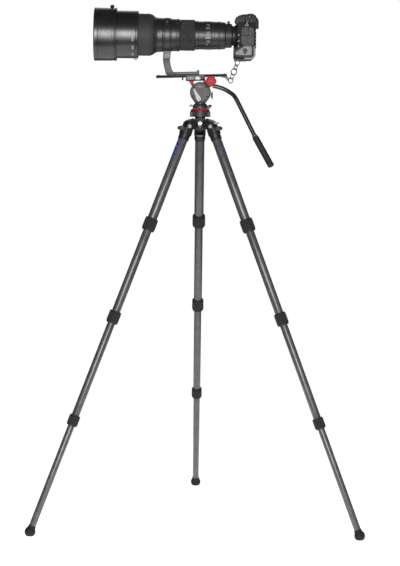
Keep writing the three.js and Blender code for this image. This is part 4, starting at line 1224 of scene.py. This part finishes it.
def build_hood():
    """The hood's front and rear shells, lined with flock, with a lock knob and a catch."""
    low, high = corners("hood_front")
    x0, x1, radius = low.x, high.x, high.y
    shell = [(x0, radius - 2), (x0 + 0.8, radius - 0.5), (x0 + 2.4, radius), (x0 + 12.4, radius),
             (x0 + 13, radius - 0.9), (x0 + 14.4, radius - 0.9), (x0 + 15, radius - 0.4),
             (x1 - 15, radius - 0.9), (x1 - 14.2, radius - 1.3), (x1 - 5.4, radius - 1.3),
             (x1 - 4.8, radius - 0.4), (x1 - 4, radius), (x1 - 1, radius), (x1, radius - 1),
             (x1, 80.6), (x1 - 4, 80.6), (x1 - 10, radius - 3.6), (x0 + 1.4, radius - 3.6), (x0, radius - 3)]
    piece("hood_front_shell", lens_ring(shell, 0.4, 200), HOOD, "rig", "hood_front")
    inner, lining = radius - 4.5, [(x0 + 2, radius - 3.5), (x1 - 11, radius - 3.5)]
    for step in range(20, -1, -1):
        x = x0 + 3 + step * (x1 - x0 - 15) / 20
        lining += [(x, inner), (x - 0.9, inner + 0.7)]
    piece("hood_front_flock", lens_ring(lining, 0, 160), FLOCK, "rig")
    low, high = corners("hood_rear")
    start, end, reach = low.x, high.x, high.y
    sleeve = [(start, reach - 0.6), (start + 0.6, reach), (end - 8, reach), (end - 7.4, reach - 0.7),
              (end - 6, reach - 0.7), (end - 5.4, reach), (end - 1.2, reach), (end, reach - 1.4), (end, 71.2),
              (end - 12, 71.2), (end - 16, reach - 3), (start, reach - 3)]
    piece("hood_rear_shell", lens_ring(sleeve, 0.5, 200), HOOD, "rig", "hood_rear")
    inner, lining = reach - 3.9, [(start + 0.5, reach - 2.9), (end - 17, reach - 2.9)]
    for step in range(16, -1, -1):
        x = start + 1 + step * (end - start - 20) / 16
        lining += [(x, inner), (x - 0.8, inner + 0.6)]
    piece("hood_rear_flock", lens_ring(lining, 0, 160), FLOCK, "rig")
    lean = math.radians(64)
    out = Vector((0, -math.cos(lean), math.sin(lean)))
    place = basis(at(x1 - 14, 0, LENS_Z), out, (1, 0, 0))
    seat = moved(disc(6.6, 3, 0.8), z=radius - 1.6)
    stem = moved(disc(3, 10, 0.3), z=radius)
    head = moved(knurled(6.7, 9.6, 22, 0.8, 1.4), z=radius + 6.6)
    piece("hood_knob", joined([stem, head]), LENS_PAINT, "rig", place=place)
    piece("hood_knob_seat", seat, GREY_DARK, "rig", place=place)
    catch = slab([(end - 16, LENS_Z - reach + 4), (end - 14.6, LENS_Z - reach - 2),
                  *arc(end - 8.4, LENS_Z - reach - 0.4, 5, 200, 340, 10),
                  (end - 2, LENS_Z - reach + 4)], -9, 9, 1.2)
    piece("hood_catch", catch, HOOD, "rig")
    screws = [moved(turned(moved(screw(1.6, height=0.8), z=radius - 1.6), lean_angle, "X"),
                    x=x1 - 16.5, z=LENS_Z)
              for lean_angle in (62, 118)]
    piece("hood_screws", joined(screws), SCREW, "rig")


build_barrel()
build_lens_marks()
build_lens_fittings()
build_rings()
build_front_glass()
build_hood()


# ---------------------------------------------------------------- camera body
# The camera is drawn from the foremost, lowest point of its middle plane: X to its back, Z up.
BODY_LOW, BODY_HIGH = corners("camera_body")
CAMERA = Matrix.Translation(at(BODY_LOW.x, 0, BODY_LOW.z))
SIDE = -BODY_LOW.y  # half of the width
FACE, BACK = 10.0, BODY_HIGH.x - BODY_LOW.x - 11.5
BASE, SHOULDER = 4.5, 128.0
TOP = BODY_HIGH.z - BODY_LOW.z
MOUNT_Z = LENS_Z - 1 - BODY_LOW.z


def camera_piece(name, mesh, material, *nodes, sharp=32):
    piece(name, mesh, material, "rig", *nodes, place=CAMERA, sharp=sharp)


def facing(mesh, way, x=0.0, y=0.0, z=0.0):
    """A mesh that stands on its base, turned to face near, far, front or back."""
    turns = {"near": (90, "X"), "far": (-90, "X"), "front": (-90, "Y"), "back": (90, "Y")}
    return moved(turned(mesh, *turns[way]), x=x, y=y, z=z)


def end_panel(outline, depth, proud, edge=0.6, ease=2.0):
    """A panel on the camera's near end, let in by depth and standing proud."""
    return slab(rounded(outline, ease), -SIDE - proud, -SIDE + depth, edge)


def build_body_shell():
    lower = [(5, BASE), (BACK - 12, BASE), (BACK, BASE + 12), (BACK, 62), (FACE, 62), (FACE, 51),
             (0, 43), (0, BASE + 7)]
    upper = [(FACE, 56), (BACK, 56), (BACK, SHOULDER - 4), (BACK - 4, SHOULDER), (FACE + 6, SHOULDER),
             (FACE, SHOULDER - 8)]
    grip = [(0, 14), (20, 12), (20, SHOULDER - 0.4), (8, SHOULDER - 0.4), (0, SHOULDER - 10)]
    chamber = bar(14, 54, -SIDE - 2, -SIDE + 69, 20.5, 34.5)
    body = carved(slab(rounded(lower, 4, 5), -SIDE, SIDE, 3.2), [chamber])
    camera_piece("body_lower", body, CRINKLE, "camera_body")
    well = moved(lathe(oblong(0, 6.6, 0, 20), 48), x=19.5, y=60, z=SHOULDER - 5)
    shell = slab(rounded(upper, 5, 5), -SIDE, SIDE, 3.2)
    pistol = slab(rounded(grip, 7, 6), 39, SIDE - 0.4, 4.5)
    camera_piece("body_upper", carved(shell, [well.copy()]), CRINKLE)
    camera_piece("pistol_grip", carved(pistol, [well]), GRIP)
    trim = [(34, BASE - 0.5), (58.8, BASE - 0.5), (BACK + 0.4, BASE + 11.4), (BACK + 0.4, 49), (BACK - 6, 50),
            (BACK - 6, 17), (56, 12.2), (34, 12.2)]
    camera_piece("base_trim", slab(rounded(trim, 3, 5), -SIDE - 0.35, SIDE - 6, 1.0), COVER_PLASTIC)
    thumb = slab(rounded([(BACK - 1, 60), (BACK + 3, 66), (BACK + 4.6, 96), (BACK + 2, 112),
                          (BACK - 1, 116)], 2.5, 4), 46, SIDE - 3, 2.2)
    camera_piece("thumb_rest", thumb, GRIP)
    leather = slab(rounded(oblong(-0.35, 8, 18, 40), 0.4), -SIDE + 12, SIDE - 8, 0.5)
    camera_piece("lower_grip_cover", leather, GRIP)


def build_prism():
    outline = [(FACE - 1, 118), (FACE - 0.8, 124.6), (1.6, 129.4), (2.2, 138), (5, 145.4), (17, 153.6),
               (35, 157.4), (BACK - 3, 156.4), (BACK + 2.4, 152), (BACK + 4, 140), (BACK, 118)]
    prism_mesh = slab(rounded(outline, 5, 6), -33, 33, 5.5)
    camera_piece("prism_cover", prism_mesh, SATIN)
    eyepiece = [(BACK - 3, 111), (BACK + 9, 111), (BACK + 9, 134), (BACK + 6, 147), (BACK - 3, 153)]
    camera_piece("eyepiece", slab(rounded(eyepiece, 2.4, 4), -20, 20, 2.4), SATIN)
    cup = [(BACK + 6.6, 110.2), (BACK + 11.6, 110.2), (BACK + 11.6, 132), (BACK + 9.8, 143),
           (BACK + 6.6, 144)]
    window = bar(BACK + 4, BACK + 14, -12, 12, 117, 134)
    camera_piece("eyecup", carved(slab(rounded(cup, 1.8, 4), -21, 21, 1.8), [window]), RUBBER)
    glass = bar(BACK + 8.4, BACK + 9.4, -12.6, 12.6, 116.4, 134.6)
    camera_piece("eyepiece_glass", glass, SCREEN)
    base = slab(rounded(oblong(45.5, 65.5, TOP - 4.6, TOP - 1.8), 0.5), -10.4, 10.4, 0.5)
    rails = [slab(oblong(46, 64, TOP - 2, TOP), y0, y1, 0.4)
             for y0, y1 in ((-9.3, -6.2), (6.2, 9.3))]
    stop = slab(oblong(46, 47.4, TOP - 2, TOP), -6.4, 6.4, 0.3)
    camera_piece("shoe_base", base, SATIN)
    camera_piece("shoe_rails", joined([*rails, stop]), SCREW)
    contacts = [moved(disc(1.1, 0.5, 0.2, 20), x=x, y=y, z=TOP - 1.9)
                for x, y in ((55, 0), (51, 3), (51, -3), (59, 3))]
    camera_piece("shoe_contacts", joined(contacts), BRIGHT)
    dot = facing(disc(1.5, 0.5, 0.2, 24), "near", 50.5, -32.9, 149.5)
    knob = facing(disc(5, 2.4, 0.6), "near", 31, -32.6, 141)
    camera_piece("prism_dot", dot, WHITE)
    camera_piece("prism_button", knob, SATIN)


def build_camera_top():
    """The mode dial with its bright rim, a status window, buttons and the shutter's collar."""
    dial = moved(knurled(14, 8, 56, 0.6, 0.9), x=43.5, y=-54, z=SHOULDER - 0.5)
    cap = moved(disc(11.4, 2, 0.6, 64), x=43.5, y=-54, z=SHOULDER + 7)
    rim = lathe(rounded([(12, 0), (13.4, 0), (13.2, 0.9), (12, 0.9)], 0.3), 72)
    camera_piece("mode_dial", joined([dial, cap]), LENS_PAINT)
    camera_piece("mode_dial_rim", moved(rim, x=43.5, y=-54, z=SHOULDER + 7.2), SATIN_RING)
    lugs = [moved(disc(2.6, 1.4, 0.5, 32), x=43.5 + 6.4 * math.cos(turn), y=-54 + 6.4 * math.sin(turn),
                  z=SHOULDER + 8.6) for turn in (0.4, 2.5, 4.6)]
    camera_piece("mode_dial_buttons", joined(lugs), CRINKLE)
    window = slab(rounded(oblong(28, 60, SHOULDER - 1, SHOULDER + 0.8), 0.4),
                  38, 70, 0.3)
    frame_mesh = slab(rounded(oblong(26, 62, SHOULDER - 1, SHOULDER + 0.5), 0.4),
                      36, 72, 0.4)
    camera_piece("status_window", window, SCREEN)
    camera_piece("status_frame", frame_mesh, SATIN)
    collar = lathe(rounded([(6.7, -1), (10.4, -1), (10.4, 2.4), (8.2, 3.4), (6.7, 3.4)], 0.6), 72)
    lever = moved(bevelled(bar(-12.6, -8, -1.6, 1.6, 0.4, 2.6), 0.5), x=19.5, y=60, z=SHOULDER)
    camera_piece("shutter_collar", joined([moved(collar, x=19.5, y=60, z=SHOULDER), lever]), SATIN)
    buttons = [moved(disc(3, 2, 0.7, 36), x=x, y=y, z=SHOULDER - 0.4)
               for x, y in ((17, 44), (24, 72), (34, 75))]
    camera_piece("top_buttons", joined(buttons), SATIN)
    place = CAMERA @ Matrix.Translation(Vector((19.5, 60, SHOULDER)) * MM)
    button = lathe(rounded([(0, -2.7), (6, -2.7), (6, 1.6), (4.6, 2.4), (3, 2.1), (0, 1.8)], 0.5), 64)
    piece("shutter_button_cap", button, BRIGHT, "shutter", "shutter_button", place=place)


def build_camera_end():
    """The near end: rubber port doors, strap lug, battery frame and small caps."""
    doors = [[(23.5, 86), (24.4, 108), (30, 112), (46, 112), (46.4, 85)],
             [(47.2, 85), (46.9, 112), (60, 111), (64.5, 105), (65.5, 84)],
             [(23.5, 85), (22.8, 62), (28, 51.4), (64.8, 51.4), (66, 56), (65.6, 83)]]
    for number, outline in enumerate(doors):
        camera_piece(f"port_door_{number}", end_panel(outline, 1, 1.5, 0.9, 3.2), PORT)
    tabs = [end_panel(oblong(x, x + 5, z, z + 2.2), 0.5, 2.1, 0.4, 0.8)
            for x, z in ((28, 88), (58, 88), (30, 56))]
    camera_piece("port_tabs", joined(tabs), PORT)
    border = [(-0.6, 24), (-1, 34), (0, 44), (4, 44), (2.8, 35), (34, 54.5), (62.6, 54.5), (63.6, 50),
              (62.6, 16), (59, 12.6), (8, 12.6), (0.6, 18)]
    inner = [(3.6, 27.2), (34.6, 50.4), (58.8, 50.4), (59, 18.4), (8.4, 18.3), (3.2, 25)]
    cut = slab(rounded(inner, 1.4), -SIDE - 3, -SIDE + 3)
    camera_piece("battery_frame", carved(end_panel(border, 1.5, 1.2, 0.5, 2.4), [cut]), SATIN)
    caps = [facing(disc(3.6, 2, 0.9), "near", 14.6, -SIDE + 0.5, z) for z in (86, 66, 48.5)]
    camera_piece("terminal_caps", joined(caps), LENS_PAINT)
    centres = [facing(disc(1.5, 0.8, 0.3, 24), "near", 14.6, -SIDE - 1.4, z) for z in (86, 66, 48.5)]
    camera_piece("terminal_rims", joined(centres), GREY_DARK)
    for side, way in ((-1, "near"), (1, "far")):
        plate = facing(disc(4.2, 2, 0.7), way, 40.5, side * (SIDE - 0.5), 117.6)
        y = side * (SIDE + 2.4)
        points = [(40.5, y, 125.4), (35.8, y, 117.2), (45.2, y, 117.2)]
        camera_piece(f"strap_lug_{way}", wire_loop(points, 1.0), BRIGHT)
        camera_piece(f"strap_post_{way}", plate, SCREW)
    far_door = slab(rounded(oblong(28, 66, 60, 108), 4), SIDE - 1, SIDE + 1.2, 0.8)
    camera_piece("card_door", far_door, CRINKLE)


def egg(x, z, half_width, half_height, skew):
    """An oval that is narrower at its top."""
    turns = [TURN * k / 48 for k in range(48)]
    return [(x + half_width * math.cos(t), z + (half_height - skew * math.sin(t)) * math.sin(t))
            for t in turns]


def build_battery():
    """The battery, its pale end cover and the oval latch let into it."""
    cell = bar(14.5, 53.5, -SIDE - 1, -SIDE + 67.6, 21, 34)
    cover = [(2.6, 26.6), (34, 49.8), (57.8, 49.8), (58.6, 49), (58.6, 19.6), (57.6, 18.8),
             (8.6, 18.8), (3, 24.6)]
    panel = slab(rounded(cover, 2.2, 2), -SIDE - 3.4, -SIDE - 0.35, 0.5)
    well = slab(egg(35.9, 34.2, 8.2, 12.6, 2.2), -SIDE - 6, -SIDE - 2.4)
    piece("battery_cell", bevelled(cell, 0.8), PORT, "battery", "battery_pack", place=CAMERA)
    piece("battery_cover", carved(panel, [well]), COVER_PLASTIC, "battery", place=CAMERA)
    base = slab(ring(7.9, 48, 35.9, 34.6), -SIDE - 2.7, -SIDE - 1.6)
    latch = slab(egg(35.9, 34.2, 6.1, 10.4, 2.0), -SIDE - 3.6, -SIDE - 1.4, 0.6)
    key = end_panel(oblong(34.8, 37, 29, 40), -1, 4.6, 0.5, 0.8)
    piece("battery_latch", joined([latch, key]), PORT, "battery", place=CAMERA)
    piece("battery_well", base, SATIN, "battery", place=CAMERA)


def build_camera_front():
    """The bayonet's seat, lens release, terminals, grip lamp and front dial."""
    seat = lathe(rounded([(23, 0), (33, 0), (33, 3.4), (31.6, 4.2), (23, 4.2)], 0.5), 96)
    camera_piece("mount_seat", facing(seat, "back", MOUNT_X + 0.4 - BODY_LOW.x, 0, MOUNT_Z), BRIGHT)
    collar = lathe(rounded([(32.6, 0), (39, 0), (38, 2.4), (34, 2.8), (32.6, 2.4)], 0.8), 96)
    camera_piece("mount_collar", facing(collar, "front", FACE + 0.6, 0, MOUNT_Z), SATIN)
    release = facing(disc(6, 4, 1.2), "front", FACE + 0.5, -44, MOUNT_Z - 4)
    button = facing(disc(3.4, 3, 0.8), "front", FACE + 0.5, -44, MOUNT_Z - 20)
    camera_piece("lens_release", joined([release, button]), SATIN)
    terminals = [facing(disc(5.6, 3, 0.8), "front", FACE + 0.5, -62, z) for z in (100, 84)]
    camera_piece("front_terminals", joined(terminals), RUBBER)
    lamp = facing(disc(2.6, 1, 0.3, 32), "front", FACE + 0.5, 34, 112)
    camera_piece("timer_lamp", lamp, SCREEN)
    wheel = moved(turned(knurled(6, 9, 28, 0.5, 0.6), 90, "X"), x=7, y=62, z=SHOULDER - 15)
    low_wheel = moved(turned(knurled(5, 8, 24, 0.5, 0.6), 90, "X"), x=5, y=66, z=14)
    camera_piece("grip_dials", joined([wheel, low_wheel]), RUBBER)


def build_camera_back():
    """The screen, a column of buttons beside it, the selector pad and the thumb dial."""
    surround = slab(rounded(oblong(BACK - 1, BACK + 2.2, 42, 97), 0.8), -40, 33, 1)
    screen = slab(oblong(BACK + 1.6, BACK + 2.5, 46, 93), -34, 29, 0.2)
    camera_piece("screen_surround", surround, SATIN)
    camera_piece("screen_glass", screen, SCREEN)
    column = [facing(disc(3.6, 3.2, 0.8), "back", BACK - 0.4, -56, z) for z in (93, 81, 69, 57, 46)]
    row = [facing(disc(3.2, 2.6, 0.7), "back", BACK - 0.4, y, 104) for y in (-46, -34)]
    low_row = [facing(disc(2.8, 2.6, 0.7), "back", BACK - 0.4, y, 22) for y in (44, 54)]
    camera_piece("back_buttons", joined([*column, *row, *low_row]), SATIN)
    lower = slab(oblong(BACK - 0.5, BACK + 0.8, 26, 38), -30, 20, 0.3)
    camera_piece("lower_window", lower, SCREEN)
    pad = [facing(disc(11.4, 2, 0.8, 64), "back", BACK - 0.2, 48, 78),
           facing(disc(4, 3.4, 0.8), "back", BACK, 48, 78)]
    camera_piece("selector_pad", joined(pad), RUBBER)
    wheel = moved(turned(knurled(8, 13, 34, 0.6, 0.8), 90, "X"), x=BACK - 3.4, y=61, z=SHOULDER - 13)
    camera_piece("thumb_dial", wheel, RUBBER)


def build_arm_pad():
    """The notched plate under the camera that the support arm's upper screw goes into."""
    plate = oblong(1.6, 40.4, 0, BASE + 0.4)
    notches = [bar(x, x + 2.6, -20, 20, -1, 1.8) for x in (9, 17, 27, 34)]
    camera_piece("arm_pad", carved(slab(rounded(plate, 0.8), -13, 13, 0.6), notches), GREY_DARK)
    lip = slab(rounded(oblong(1.4, 41, 2.6, 8.6), 1), -SIDE + 6, -SIDE + 58, 0.6)
    camera_piece("base_pad", lip, PLATE)


build_body_shell()
build_prism()
build_camera_top()
build_camera_end()
build_battery()
build_camera_front()
build_camera_back()
build_arm_pad()


# ---------------------------------------------------------------- floor, light and camera
FLOOR_RADIUS = 1.4
DIM_WORLD, WHITE_WORLD = 0.06, 1.0
VIEW_ASIDE, VIEW_DISTANCE, VIEW_HEIGHT = 0.0027, 6.613, 1.3434  # metres from the tripod's axis
VIEW_PITCH, VIEW_ROLL = 2.0, 0.718  # degrees
VIEW_LENS, VIEW_SHIFT = 125.22, -0.1648
VIEW_REACH = 60


def build_floor():
    """A small glowing disc; a larger one lights the hood from below and leaves a horizon."""
    bpy.ops.mesh.primitive_circle_add(vertices=128, radius=FLOOR_RADIUS, fill_type="NGON")
    floor = bpy.context.object
    floor.name = "floor"
    finish = blank("pale_floor", (0.4, 0.4, 0.4), 0.9, Emission_Color=(1, 1, 1, 1), Emission_Strength=1.0,
                   Specular_IOR_Level=0.1)
    feed(finish, "Roughness", spread(finish, noise(finish, 6), 0.85, 0.95))
    floor.data.materials.append(finish)


def area_light(name, place, target, size, power):
    data = bpy.data.lights.new(name, "AREA")
    data.shape = "RECTANGLE"
    data.size, data.size_y = size
    data.energy = power
    lamp = bpy.data.objects.new(name, data)
    bpy.context.scene.collection.objects.link(lamp)
    lamp.location = place
    lamp.rotation_euler = (Vector(target) - Vector(place)).to_track_quat("-Z", "Y").to_euler()


def build_light():
    """White surroundings for the camera, dimmer ones for the object, and soft boxes."""
    world = bpy.data.worlds.new("studio")
    bpy.context.scene.world = world
    world.use_nodes = True
    sky = world.node_tree.nodes["Background"]
    seen = world.node_tree.nodes.new("ShaderNodeLightPath").outputs["Is Camera Ray"]
    level = world.node_tree.nodes.new("ShaderNodeMapRange")
    world.node_tree.links.new(seen, level.inputs["Value"])
    level.inputs["To Min"].default_value = DIM_WORLD
    level.inputs["To Max"].default_value = WHITE_WORLD
    world.node_tree.links.new(level.outputs["Result"], sky.inputs["Strength"])
    sky.inputs["Color"].default_value = (1, 1, 1, 1)
    height = LENS.z
    area_light("front_box", (0, AXIS.y - 3.6, height + 0.1), (0, AXIS.y, height), (2.4, 1.5), 92)
    area_light("key_box", (-2.6, AXIS.y - 2.4, 3.4), (0, AXIS.y, 1.1), (1.8, 1.8), 6)
    area_light("fill_box", (2.8, AXIS.y - 2.2, 2.4), (0, AXIS.y, 1.0), (1.8, 1.8), 6)
    area_light("back_box", (0.4, AXIS.y + 3.0, 3.2), (0, AXIS.y, 1.2), (2.4, 1.6), 14)
    area_light("low_box", (0, AXIS.y - 3.4, 0.6), (0, AXIS.y, 0.5), (2.4, 1.0), 15)


def build_camera():
    """Level with the tripod's top, well back on a long lens, framed so that the whole tripod shows."""
    data = bpy.data.cameras.new("camera")
    camera = bpy.data.objects.new("camera", data)
    scene = bpy.context.scene
    scene.collection.objects.link(camera)
    scene.camera = camera
    camera.location = (VIEW_ASIDE, AXIS.y - VIEW_DISTANCE, VIEW_HEIGHT)
    tip = Matrix.Rotation(math.radians(90 - VIEW_PITCH), 4, "X")
    camera.rotation_euler = (tip @ Matrix.Rotation(math.radians(VIEW_ROLL), 4, "Z")).to_euler()
    data.lens = VIEW_LENS
    data.shift_y = VIEW_SHIFT
    data.clip_end = VIEW_REACH
    scene.view_settings.view_transform = "Standard"


build_floor()
build_light()
build_camera()
